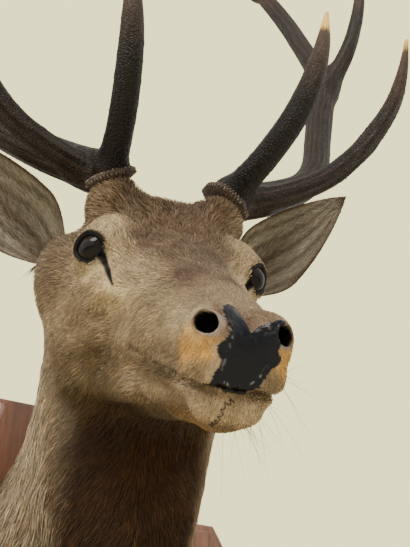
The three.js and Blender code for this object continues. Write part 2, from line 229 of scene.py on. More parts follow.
@dataclass(frozen=True)
class Anatomy:
    """Sizes and places of the stag's head and neck; the flesh reaches out to the coat's tips."""

    eye_out: float = 370.0
    eye_up: float = 270.0
    dip: float = math.radians(29)
    turn: float = math.radians(-6.5)
    turn_starts: float = 60.0
    turn_ends: float = 290.0
    turn_pivot: float = 210.0
    shrunk: float = 0.12  # how much narrower the muzzle has dried on its left
    nose_cap: float = 14.0
    neck_fillet: float = 45.0
    eye: tuple[float, float, float] = (71.0, -4.0, 6.5)
    eye_radius: float = 17.0
    burr: tuple[float, float, float] = (59.0, 66.0, 88.0)
    ear_root: tuple[float, float, float] = (93.0, 100.0, 9.0)

    # y, top, bottom and half width of the skull's sections, from the nostrils back
    skull: tuple[tuple[float, ...], ...] = (
        (-242, -51, -104, 34), (-200, -30, -104, 41), (-150, -12, -102, 43),
        (-100, 5, -98, 49), (-50, 24, -94, 61), (0, 45, -92, 70), (50, 70, -82, 70),
        (85, 58, -60, 66),
    )
    # y, top, bottom and half width of the lower jaw's sections, from the chin back
    jaw: tuple[tuple[float, ...], ...] = (
        (-212, -90, -126, 24), (-170, -85, -127, 31), (-110, -75, -128, 36),
        (-40, -50, -131, 47), (30, -40, -128, 56),
    )
    # out from the wall, up, depth and half width of the neck's sections
    neck: tuple[tuple[float, ...], ...] = (
        (10, 52, 226, 108), (90, 86, 194, 96), (165, 142, 150, 90),
        (225, 212, 111, 91), (270, 265, 86, 93), (305, 292, 70, 84),
    )
    masses: tuple[Mass, ...] = (
        Mass((58, 6, 16), (26, 30, 26), 22),  # brow
        Mass((60, -12, -30), (17, 52, 20), 24),  # cheekbone
        Mass((48, 22, -70), (22, 48, 46), 30),  # muscle of the jaw
        Mass((34, -95, -62), (16, 46, 26), 24),  # upper jaw
        Mass((25, -234, -66), (13, 20, 17), 12),  # wing of the nostril
        Mass((20, -222, -96), (18, 30, 13), 12),  # upper lip
        Mass((32, -165, -95), (10, 36, 10), 18),  # lip by the corner of the mouth
        Mass((53, 60, 64), (25, 26, 28), 18),  # pedicle of the antler
        Mass((86, 96, -8), (26, 27, 36), 24),  # root of the ear
        Mass((0, -214, -112), (20, 20, 17), 10),  # chin
    )
    # middle line that the surface is measured from: out from the wall and up
    core: tuple[tuple[float, float], ...] = (
        (22, 60), (90, 76), (160, 124), (225, 184), (290, 230), (350, 236), (410, 206),
        (470, 154), (528, 96),
    )

    def __post_init__(self) -> None:
        """Prepares the curves of the sections."""
        put = object.__setattr__
        put(self, "skull_curve", Curve(list(self.skull)))
        put(self, "jaw_curve", Curve(list(self.jaw)))
        shares = np.linspace(0, 1, len(self.neck))
        rows = [(t, deep, side) for t, (_, _, deep, side) in zip(shares, self.neck)]
        put(self, "neck_curve", Curve(rows))
        axis = np.array([(0.0, -out, up) for out, up, _, _ in self.neck])
        put(self, "neck_axis", catmull_rom(axis, 24))

    # -- frames

    def to_skull(self, points: Array) -> Array:
        """Mount frame, before the head's turn, to the skull's frame."""
        out, up = points[..., 1] + self.eye_out, points[..., 2] - self.eye_up
        c, s = math.cos(self.dip), math.sin(self.dip)
        return np.stack([points[..., 0], out * c + up * s, up * c - out * s], -1)

    def from_skull(self, points: Array) -> Array:
        """Skull's frame to the mount frame, before the head's turn."""
        c, s = math.cos(self.dip), math.sin(self.dip)
        y, z = points[..., 1], points[..., 2]
        return np.stack([points[..., 0], y * c - z * s - self.eye_out, y * s + z * c + self.eye_up], -1)

    def turned(self, points: Array) -> Array:
        """Turns points of the flesh with the head: none at the board, all at the skull."""
        angle = self.turn * smooth(-points[..., 1], self.turn_starts, self.turn_ends)
        back = points[..., 1] + self.turn_pivot
        c, s = np.cos(angle), np.sin(angle)
        muzzle = smooth(-self.to_skull(points)[..., 1], 200, 240)
        x = points[..., 0] * (1 - self.shrunk * muzzle * (points[..., 0] > 0))
        return np.stack([x * c - back * s, x * s + back * c - self.turn_pivot, points[..., 2]], -1)

    def on_head(self, point: tuple[float, float, float], side: int) -> Array:
        """A point of the skull on the left (1) or right (-1), in the turned mount frame."""
        x, y, z = point
        return self.turned(self.from_skull(np.array([side * x, y, z], float)))

    # -- distances

    @staticmethod
    def across_y(curve: Curve, cap: float, x: Array, y: Array, z: Array) -> Array:
        """Distance to a body whose oval sections stand across y."""
        near = np.clip(y, curve.keys[0], curve.keys[-1])
        top, bottom, side = np.moveaxis(curve(near), -1, 0)
        half = (top - bottom) / 2
        reach = np.sqrt((x / side) ** 2 + ((z - bottom - half) / half) ** 2 + ((y - near) / cap) ** 2)
        return (reach - 1) * np.minimum(side, half)

    def neck_distance(self, x: Array, y: Array, z: Array) -> Array:
        """Distance to the neck: oval sections across its bent axis."""
        best = np.full(np.shape(x), 1e9)
        share = np.zeros(np.shape(x))
        steps = len(self.neck_axis) - 1
        for i in range(steps):
            a, b = self.neck_axis[i], self.neck_axis[i + 1]
            dy, dz = b[1] - a[1], b[2] - a[2]
            t = np.clip(((y - a[1]) * dy + (z - a[2]) * dz) / (dy * dy + dz * dz), 0, 1)
            gap = np.hypot(y - a[1] - t * dy, z - a[2] - t * dz)
            nearer = gap < best
            best = np.where(nearer, gap, best)
            share = np.where(nearer, (i + t) / steps, share)
        deep, side = np.moveaxis(self.neck_curve(share), -1, 0)
        return (np.hypot(x / side, best / deep) - 1) * np.minimum(side, deep)

    def flesh(self, points: Array) -> Array:
        """Distance to the outer shape of the flesh, in the mount frame before the turn."""
        skull = self.to_skull(points)
        x, y, z = to_left(skull)
        lips = 6 + 26 * smooth(y, -170, -90)
        depth = blend(self.across_y(self.skull_curve, self.nose_cap, x, y, z),
                      self.across_y(self.jaw_curve, self.nose_cap, x, y, z), lips)
        for mass in self.masses:
            depth = blend(depth, mass.distance(x, y, z), mass.fillet)
        neck = self.neck_distance(x, points[..., 1], points[..., 2])
        return blend(depth, neck, self.neck_fillet)


@dataclass(frozen=True)
class Features:
    """The finer forms of the face, in the skull's frame, for the left side and mirrored."""

    lid_thick: float = 3.0
    brow_fold: Groove = Groove(((82, 14, 30), (82, -2, 35), (76, -16, 33), (66, -26, 24)), 1.4, 6)
    under_lid: Groove = Groove(((92, 8, -6), (88, -10, -11), (78, -24, -10)), 1.0, 6)
    gland: Groove = Groove(((70, -21.5, 5), (66, -26.5, -4.4), (64.5, -44.9, -13.8), (63.8, -57, -20.7),
                            (61.8, -62.4, -26.2)), 3.9, 3, 0.9)
    cheek_hollow: Mass = Mass((62, -70, -50), (10, 44, 12), 26)
    temple: Mass = Mass((84, 42, 30), (12, 20, 18), 22)
    nostril_ring: Mass = Mass((24.5, -242, -61), (12.0, 10.5, 13.5), 14)
    nostril_hole: Mass = Mass((27.4, -248.3, -59.0), (7.4, 16, 8.0), 2.5)
    nostril_aim: tuple[float, float, float] = (-0.57, 0.81, -0.12)
    nostril_deep: float = 16.0
    nostril_long: float = 12.0  # half length of its opening
    nose_wing: Mass = Mass((13, -228, -52), (11, 16, 9), 10)
    # raised runs of paint on the nose pad; bare_skin also paints glints along them
    paint_runs: tuple[Groove, ...] = (
        Groove(((-15, 0, -56), (-11.5, 0, -66), (-13, 0, -76), (-16, 0, -90)), 0.0, 0),
        Groove(((18, 0, -80), (13, 0, -88), (7, 0, -94)), 0.0, 0),
        Groove(((-13, 0, -95), (-7, 0, -97), (-2, 0, -95)), 0.0, 0),
        Groove(((3, 0, -60), (9, 0, -57), (17, 0, -55)), 0.0, 0),
    )
    mouth: Groove = Groove(((48, -112, -77.5), (43.5, -126, -81.6), (40.5, -148, -87.1), (40, -177.5, -91),
                            (39, -197, -93.4), (36, -222, -96), (33, -243, -97.5), (20, -248, -99.6),
                            (8, -250, -102), (0, -249, -103)), 3.2, 4, 3.8)
    lip_lobe: Mass = Mass((24, -241, -88), (13, 14, 12), 9)
    philtrum: Groove = Groove(((2, -258, -66), (0, -260, -82), (-2, -256, -102)), 1.6, 5)
    lower_lip: Mass = Mass((10, -235, -114), (14, 12, 8), 16)
    jaw_line: Mass = Mass((46, -60, -108), (10, 70, 12), 22)

    def nostril(self, x: Array, y: Array, z: Array) -> tuple[Array, Array]:
        """How far out from a nostril's axis places lie (1 is its edge), and its bare rim's mask."""
        offset = np.stack([x, y, z], -1) - np.array(self.nostril_hole.at)
        aim = unit(np.array(self.nostril_aim))
        flat = offset - (offset @ aim)[..., None] * aim
        wide = np.sqrt((flat[..., 0] / self.nostril_hole.size[0]) ** 2
                       + (flat[..., 1] / self.nostril_long) ** 2
                       + (flat[..., 2] / self.nostril_hole.size[2]) ** 2)
        wide = wide * (1 + 0.10 * value_noise(offset, 7.0, 71) + 0.05 * value_noise(offset, 2.8, 72))
        inward = np.clip(-(1.1 * flat[..., 0] + 0.35 * flat[..., 2]) / 10, -1, 1)
        rim = 1 - smooth(wide - 0.30 * inward, 1.08, 1.18)
        return wide, rim * smooth(-y, 226, 232)


ANATOMY = Anatomy()
FEATURES = Features()
EYE = np.array(ANATOMY.eye)


def coat_depth(skull: Array) -> Array:
    """How far the coat stands off the skin: least at the nose, most on the neck.

    Args:
        skull: Places in the skull's frame.

    Returns:
        Depth of the coat at each place, in millimetres.
    """
    y, z = skull[..., 1], skull[..., 2]
    face = 1.0 + 1.6 * smooth(y, -220, -60)
    neck = smooth(y - 0.6 * np.minimum(z + 60, 0), 60, 190)
    return face * (1 - neck) + 9.5 * neck


def sculpted(points: Array) -> Array:
    """Distance to the skin with lids, nostrils, lips and folds, before the head's turn."""
    skull = ANATOMY.to_skull(points)
    x, y, z = to_left(skull)
    f = FEATURES
    depth = ANATOMY.flesh(points) + coat_depth(skull)
    near_face = y < 120
    if not np.any(near_face):
        return depth
    part = depth[near_face]
    u, v, w = x[near_face], y[near_face], z[near_face]
    for hollow in (f.cheek_hollow, f.temple):
        part = carve(part, hollow.distance(u, v, w) + 4, hollow.fillet)
    part = blend(part, f.jaw_line.distance(u, v, w) + 3, f.jaw_line.fillet)
    for fold in (f.brow_fold, f.under_lid):
        part = carve(part, fold.distance(u, v, w), fold.fillet)
    ball = Mass(ANATOMY.eye, (ANATOMY.eye_radius + f.lid_thick,) * 3)
    part = blend(part, ball.distance(u, v, w), 9)
    part = part + 0.8 * (1 - smooth(f.gland.distance(u, v, w), -2.5, 2.0))
    for join, form in ((blend, f.lip_lobe), (blend, f.lower_lip), (carve, f.mouth), (carve, f.philtrum),
                       (blend, f.nose_wing), (blend, f.nostril_ring)):
        part = join(part, form.distance(u, v, w), form.fillet)
    depth = depth.copy()
    depth[near_face] = part
    return depth


# ---- Markings ------------------------------------------------------------------------------


class Pigment(Enum):
    """Colours of the coat and bare skin, in linear light."""

    FAWN = (0.500, 0.380, 0.232)
    BRIDGE = (0.182, 0.119, 0.078)
    CROWN = (0.195, 0.126, 0.073)
    CREAM = (0.600, 0.450, 0.265)
    PALE = (0.960, 0.760, 0.440)
    TAN = (0.760, 0.430, 0.125)
    LIP = (0.285, 0.208, 0.120)
    CHIN = (0.290, 0.170, 0.056)
    JAW = (0.085, 0.043, 0.004)
    THROAT = (0.046, 0.017, 0.004)
    NECK = (0.420, 0.325, 0.222)
    MANE = (0.090, 0.056, 0.028)
    PAINT = (0.0028, 0.0036, 0.0085)
    # painted glint: pale colour standing for highlights on the pad's paint runs
    CHIP = (0.50, 0.49, 0.47)
    RIM = (0.400, 0.320, 0.270)
    LID = (0.0045, 0.0040, 0.0042)
    # painted shade inside the nostrils' holes
    HOLE = (0.004, 0.003, 0.003)
    EAR_BACK = (0.230, 0.180, 0.115)
    EAR_INNER = (0.410, 0.362, 0.275)


PAD_RIGHT = Curve([(-105, -12), (-99, -21), (-90, -20), (-82, -17), (-73, -21), (-69, -18),
                   (-63, -14.5), (-56, -16), (-50, -20), (-44, -20)])  # up, and how far across
PAD_LEFT = Curve([(-105, 3), (-99, 8), (-94, 15), (-84, 20), (-76, 28), (-69, 24), (-61, 25),
                  (-54, 28), (-49, 29)])
PAD_TOP = Curve([(-22, -47), (-13, -43), (-7, -45), (-3, -52), (2, -59), (8, -54), (18, -50),
                 (27, -48)])  # across, and how far up


def layered(base: Array, *layers: tuple[Pigment, Array]) -> Array:
    """Lays pigments over colours, one after another, each by its mask from 0 to 1."""
    for pigment, mask in layers:
        share = np.clip(mask, 0, 1)[..., None]
        base = base * (1 - share) + np.array(pigment.value) * share
    return base


def spot(x: Array, y: Array, z: Array, mass: Mass, soft: float = 0.5) -> Array:
    """Mask that is 1 in a mass and falls to 0 around it."""
    u, v, w = ((value - at) / size for value, at, size in zip((x, y, z), mass.at, mass.size))
    return 1 - smooth(np.sqrt(u * u + v * v + w * w), 1 - soft, 1 + soft)


def pad_depth(skull: Array) -> Array:
    """How far inside the painted nose pad's uneven brushed edge places lie."""
    x, y, z = skull[..., 0], skull[..., 1], skull[..., 2]
    edge = 1.1 * value_noise(skull, 6.0, 3) + 0.8 * value_noise(skull, 2.4, 4)
    inside = np.minimum.reduce([x - PAD_RIGHT(z)[..., 0], PAD_LEFT(z)[..., 0] - x,
                                PAD_TOP(x)[..., 0] - z, z + 101.6 - 0.12 * np.abs(x)])
    return np.minimum(inside + edge, -y - 221)


def pad_mask(skull: Array) -> Array:
    """Mask of the painted nose pad."""
    return smooth(pad_depth(skull), -0.4, 0.7)


def markings(skull: Array) -> Array:
    """Colours of skin and coat at places in the skull's frame.

    Args:
        skull: Places, in millimetres.

    Returns:
        Linear red, green and blue for each place.
    """
    x, y, z = to_left(skull)
    wander = value_noise(skull, 34.0, 11)
    fine = value_noise(skull, 11.0, 12)
    seam = FEATURES.mouth.distance(x, y, z)

    def near(at: tuple[float, ...], size: tuple[float, ...], soft: float = 0.5) -> Array:
        """Mask of a round patch."""
        return spot(x, y, z, Mass(at, size), soft)

    behind = smooth(y - 0.8 * np.minimum(z + 60, 0) + 9 * wander + 16 * smooth(x, 30, 70), 66, 106)
    bridge = smooth(38 + 20 * smooth(y, -90, -20) - x, 0, 18) * (0.85 + 0.3 * fine)
    crown = near((0, 38, 74), (86, 80, 60), 0.40) * (0.78 + 0.35 * fine)
    shade = near((68, -30, -64), (18, 64, 26), 0.6) * smooth(value_noise(skull, 8.0, 13), -0.6, 0.5)
    jaw = near((58, -10, -106), (44, 108, 35)) * (0.85 + 0.3 * wander)
    throat = smooth(-z - 0.30 * y, 118, 146) * smooth(-x, -84 - 12 * wander, -46) * smooth(y, -90, -40)
    low = smooth(-z - 0.2 * y, 190, 305) * smooth(-x, -104, -56)
    nape = smooth(-x, -44, -10) * smooth(y, 84, 120) * smooth(z, -60, 10)
    cream = np.maximum.reduce([0.84 * near((64, -12, 33), (17, 24, 17), 0.45),
                               near((64, -58, -30), (26, 46, 22), 0.4),
                               0.85 * near((56, -34, 6), (14, 26, 16))])
    pale = np.maximum(near((62, -64, -35), (18, 30, 13)), 0.6 * near((76, -22, -17), (14, 26, 9)))
    tan = near((32, -246, -76), (15, 20, 14), 0.6) * (0.9 + 0.4 * fine)
    beside = (1 - smooth(-pad_depth(skull), 1.5, 9)) * smooth(-z, 66, 76)
    # painted shade: a darker band under the mouth's crease, where the upper lip bulges over
    below = smooth(-z - 0.13 * (-y - 118), 79, 85) * smooth(y, -232, -205)
    colour = layered(
        np.broadcast_to(np.array(Pigment.FAWN.value), skull.shape),
        (Pigment.BRIDGE, bridge),
        (Pigment.CROWN, crown),
        (Pigment.CROWN, 0.15 * near((0, -30, 34), (34, 70, 24), 0.7)),
        (Pigment.JAW, 0.38 * shade),
        (Pigment.JAW, 0.95 * jaw),
        (Pigment.JAW, 0.75 * smooth(-z, 104, 122) * smooth(y, -215, -150)),
        (Pigment.NECK, behind),
        (Pigment.BRIDGE, 0.6 * near((88, 58, -4), (26, 34, 32), 0.6)),
        (Pigment.THROAT, 0.96 * throat),
        (Pigment.MANE, 0.9 * low * (1 - throat)),
        (Pigment.MANE, 0.75 * nape),
        (Pigment.CREAM, 0.86 * cream * (0.9 + 0.3 * fine)),
        (Pigment.PALE, 0.88 * pale * (0.8 + 0.4 * fine)),
        (Pigment.FAWN, 0.50 * near((0, -204, -36), (34, 44, 18))),
        (Pigment.LIP, 0.7 * near((40, -190, -84), (20, 56, 15))),
        (Pigment.TAN, 0.9 * tan),
        (Pigment.LIP, 0.85 * near((22, -250, -92), (16, 20, 9), 0.45)),
        (Pigment.CREAM, (0.40 - 0.30 * np.sign(skull[..., 0])) * beside),
        (Pigment.CREAM, 0.80 * near((12, -238, -113), (22, 20, 11), 0.35)),
        (Pigment.CHIN, 0.85 * near((16, -196, -126), (26, 44, 12))),
        # painted shade under the mouth's crease
        (Pigment.JAW, 0.62 * (1 - smooth(seam, 2, 11)) * below),
        # painted shade along the mouth's crease and in its slit, darkest towards the front
        (Pigment.MANE, (0.50 + 0.40 * smooth(-y, 200, 240)) * (1 - smooth(seam, -0.5, 1.9))),
        (Pigment.THROAT, 0.9 * (1 - smooth(seam, -2.0, 0.6))),
    )
    return colour * (1 + 0.11 * wander + 0.14 * fine)[..., None]


def bare_skin(skull: Array, colour: Array) -> tuple[Array, Array]:
    """Adds lids, tear glands, nostrils and the painted pad, which carry no hair.

    Args:
        skull: Places in the skull's frame.
        colour: Colours of the coat there.

    Returns:
        The colours, and the gloss from 0 (dry) to 1 (painted).
    """
    x, y, z = to_left(skull)
    f = FEATURES
    away = np.stack([x, y, z], -1) - EYE
    lid = EYELID.ahead(away, 32) * (1 - smooth(EYELID.edge(away), 1.04, 1.22))
    tear = 1 - smooth(f.gland.distance(x, y, z), -0.6, 1.3)
    wide, ring = f.nostril(x, y, z)
    # painted shade: the sunk nostrils' holes darkened almost to black
    hole_shade = (1 - smooth(wide, 0.94, 1.01)) * smooth(-y, 231, 237)
    chips = smooth(value_noise(skull, 3.2, 21), -0.5, 0.2)
    edge = (1 - smooth(wide, 1.08, 1.34)) * (y < -218)
    pad = pad_mask(skull)
    painted = smooth(pad, 0.5, 0.8)
    rubbed = smooth(pad, 0.05, 0.4) * (1 - smooth(pad, 0.6, 0.98))
    # painted glints: thin broken pale lines along the paint runs stand for highlights on the glossy paint
    run = np.min([run.distance(skull[..., 0], 0 * y, z) for run in f.paint_runs], axis=0)
    glint_breaks = smooth(value_noise(skull, 2.2, 22), -0.05, 0.3)
    painted_glint = np.exp(-(run / 0.5) ** 2) * smooth(pad, 0.7, 0.9) * glint_breaks
    colour = layered(
        colour,
        (Pigment.LID, lid),
        (Pigment.LID, tear),
        (Pigment.MANE, 0.6 * edge * (1 - ring)),
        (Pigment.RIM, ring * (0.55 + 0.45 * chips)),
        (Pigment.RIM, 0.55 * np.exp(-((wide - 1.07) / 0.06) ** 2) * (y < -226) * chips),
        (Pigment.RIM, 0.8 * rubbed),
        (Pigment.PAINT, painted),
        # painted glints along the paint runs
        (Pigment.CHIP, 0.5 * painted_glint),
        (Pigment.HOLE, hole_shade),
    )
    gloss = np.max([painted, 0.3 * np.maximum(lid, tear), 0.3 * ring], axis=0)
    return colour, np.clip(gloss * (1 - hole_shade), 0, 1)


def ear_markings(local: Array) -> Array:
    """Colours of an ear's hair.

    Args:
        local: Across from -1 to 1, up from root to tip from 0 to 1, and 1 inside, 0 behind.

    Returns:
        Linear red, green and blue for each place.
    """
    across, up, inside = np.moveaxis(local, -1, 0)
    out = np.abs(across)
    # painted shade: darker deep in the ear's hollow, in the middle of its inside and towards its root
    depth = smooth(1 - out, 0.45, 1.0) * inside * (1 - smooth(up, 0.35, 0.9))
    streak = np.sin(across * 16 + 2.2 * np.sin(up * 7))
    return layered(
        np.broadcast_to(np.array(Pigment.EAR_BACK.value), local.shape),
        (Pigment.EAR_INNER, smooth(inside, 0.3, 0.7)),
        (Pigment.MANE, 0.55 * depth),
        (Pigment.MANE, 0.5 * smooth(streak, -0.1, 0.9) * inside),
        (Pigment.MANE, 0.5 * smooth(out, 0.5, 0.9) * smooth(up, 0.35, 0.7)),
        (Pigment.THROAT, 0.85 * np.maximum(smooth(out, 0.82, 0.98), smooth(up, 0.84, 0.99))),
        (Pigment.BRIDGE, 0.8 * (1 - smooth(up, 0.02, 0.20))),
    )


# ---- Meshes --------------------------------------------------------------------------------


def net(around: int, rows: int) -> tuple[bmesh.types.BMesh, Array, Array]:
    """A closed net of squares, as on a globe.

    Args:
        around: Squares around the net.
        rows: Squares from pole to pole.

    Returns:
        The mesh, and for each of its vertices the angle around and the share from pole to pole.
    """
    bm = bmesh.new()
    bmesh.ops.create_uvsphere(bm, u_segments=around, v_segments=rows, radius=1.0)
    at = np.array([v.co for v in bm.verts], float)
    column = np.round(np.arctan2(at[:, 1], at[:, 0]) / math.tau * around) % around
    row = np.round(np.arccos(np.clip(at[:, 2], -1, 1)) / math.pi * rows)
    return bm, column / around * math.tau, row / rows


def unwrap(bm: bmesh.types.BMesh, angle: Array, share: Array, low: tuple[float, float],
           high: tuple[float, float]) -> None:
    """Lays a net flat in a map named OFBake.

    Args:
        bm: The net.
        angle: Angle of each vertex around the net.
        share: Share of each vertex from pole to pole.
        low: Corner of the map's field that the net fills.
        high: The opposite corner.
    """
    layer = bm.loops.layers.uv.new("OFBake")
    turns = angle / math.tau
    for face in bm.faces:
        ids = [v.index for v in face.verts]
        around = [turns[i] for i in ids if 0 < share[i] < 1]
        wrap = max(around) - min(around) > 0.5
        around = [a + 1 if wrap and a < 0.5 else a for a in around]
        middle = sum(around) / len(around)
        for loop, i in zip(face.loops, ids):
            u = middle if share[i] in (0, 1) else turns[i] + (wrap and turns[i] < 0.5)
            loop[layer].uv = (low[0] + u * (high[0] - low[0]), low[1] + share[i] * (high[1] - low[1]))


def move(bm: bmesh.types.BMesh, points: Array) -> None:
    """Moves the vertices of a mesh under construction."""
    for vertex, point in zip(bm.verts, points):
        vertex.co = point


def put(mesh: bpy.types.Mesh, points: Array) -> None:
    """Moves the vertices of a made mesh."""
    mesh.vertices.foreach_set("co", points.astype(np.float32).ravel())
    mesh.update()


def finished(bm: bmesh.types.BMesh, name: str, points: Array | None = None) -> bpy.types.Object:
    """Makes an object of a mesh, smooth and with its faces outwards.

    Args:
        bm: The mesh, which is freed.
        name: The object's name.
        points: New places of the vertices, or None to leave them.

    Returns:
        The object, at the origin.
    """
    if points is not None:
        move(bm, points)
    if bm.calc_volume(signed=True) < 0:
        bmesh.ops.reverse_faces(bm, faces=bm.faces)
    mesh = bpy.data.meshes.new(name)
    bm.to_mesh(mesh)
    bm.free()
    mesh.shade_smooth()
    piece = bpy.data.objects.new(name, mesh)
    bpy.context.scene.collection.objects.link(piece)
    return piece


def read(mesh: bpy.types.Mesh | bpy.types.MeshUVLoopLayer, name: str, item: str = "co",
         width: int = 3) -> Array:
    """Numbers of a mesh's collection, one row for each item."""
    data = getattr(mesh, name)
    values = np.empty(len(data) * width, np.int32 if item in ("vertices", "loops") else np.float32)
    data.foreach_get(item, values)
    return values.reshape(-1, width).astype(float)


def paint(mesh: bpy.types.Mesh, name: str, values: Array) -> None:
    """Stores a number, vector or colour on each vertex, under a name.

    Args:
        mesh: The mesh.
        name: Name of the attribute.
        values: One number, or three for a vector or four for a colour, for each vertex.
    """
    width = values.shape[1] if values.ndim > 1 else 1
    kind, item = {1: ("FLOAT", "value"), 3: ("FLOAT_VECTOR", "vector"), 4: ("FLOAT_COLOR", "color")}[width]
    attribute = mesh.attributes.new(name, kind, "POINT")
    attribute.data.foreach_set(item, values.astype(np.float32).ravel())


def with_alpha(colour: Array) -> Array:
    """Colours with a fourth value of 1."""
    return np.concatenate([np.clip(colour, 0, 1), np.ones((len(colour), 1))], axis=1)


def dressed(piece: bpy.types.Object, finish: bpy.types.Material,
            nodes: tuple[str, ...] = ()) -> None:
    """Gives a piece its finish and ties it to the mount.

    Args:
        piece: The piece.
        finish: Its finish.
        nodes: Solids that the piece stands for.
    """
    piece.data.materials.clear()
    piece.data.materials.append(finish)
    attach(piece, ROOT)
    if nodes:
        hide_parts(*nodes)
    LOG.info("%s: %d faces", piece.name, len(piece.data.polygons))


def spikes(name: str, line: Array, width: Array, normal: Array, thick: float = 0.5,
           uv: Array | None = None, colour: Array | None = None) -> bpy.types.Object:
    """Many thin closed spikes with three sides, joined in one piece.

    Args:
        name: The piece's name.
        line: Middle line of each spike in metres, as spikes x rings x 3; the last ring is the tip.
        width: Width at each ring but the tip, in metres.
        normal: The way that each spike's back looks.
        thick: Thickness as a share of the width.
        uv: Place of each spike's root on the unwrap.
        colour: Colour at each ring, as spikes x rings x 3.

    Returns:
        The piece.
    """
    count, rings = line.shape[:2]
    along = unit(np.gradient(line, axis=1))
    side = unit(np.cross(along, normal[:, None, :]))
    back = np.cross(side, along)
    corners = []
    for shift, lift in ((-0.5, 0.0), (0.5, 0.0), (0.0, thick)):
        corners.append(line[:, :-1] + (side * shift + back * lift)[:, :-1] * width[..., None])
    body = np.stack(corners, axis=2).reshape(count, -1, 3)
    points = np.concatenate([body, line[:, -1:]], axis=1)
    each = points.shape[1]
    faces = [(0, 2, 1)]
    for ring in range(rings - 2):
        for k in range(3):
            a, b = 3 * ring + k, 3 * ring + (k + 1) % 3
            faces += [(a, b, b + 3), (a, b + 3, a + 3)]
    last = 3 * (rings - 2)
    faces += [(last + k, last + (k + 1) % 3, each - 1) for k in range(3)]
    pattern = np.array(faces)
    index = (pattern[None] + each * np.arange(count)[:, None, None]).reshape(-1, 3)
    mesh = bpy.data.meshes.new(name)
    mesh.vertices.add(count * each)
    mesh.loops.add(index.size)
    mesh.polygons.add(len(index))
    mesh.vertices.foreach_set("co", points.astype(np.float32).ravel())
    mesh.loops.foreach_set("vertex_index", index.astype(np.int32).ravel())
    mesh.polygons.foreach_set("loop_start", np.arange(0, index.size, 3, dtype=np.int32))
    mesh.update(calc_edges=True)
    mesh.shade_smooth()
    if uv is not None:
        ring_of = np.minimum(np.arange(each) // 3, rings - 1)
        offset = np.stack([(np.arange(each) % 3) / 2, ring_of / (rings - 1)], axis=-1) * PATCH
        offset[-1, 0] = PATCH / 2
        flat = uv[:, None, :] + offset[None] - PATCH / 2
        mesh.uv_layers.new(name="OFBake").data.foreach_set("uv", flat.reshape(-1, 2)[index.ravel()]
                                                           .astype(np.float32).ravel())
    if colour is not None:
        body_colour = np.repeat(colour[:, :-1], 3, axis=1)
        every = np.concatenate([body_colour, colour[:, -1:]], axis=1).reshape(-1, 3)
        paint(mesh, "Marking", with_alpha(every))
    piece = bpy.data.objects.new(name, mesh)
    bpy.context.scene.collection.objects.link(piece)
    return piece


# ---- Finishes ------------------------------------------------------------------------------


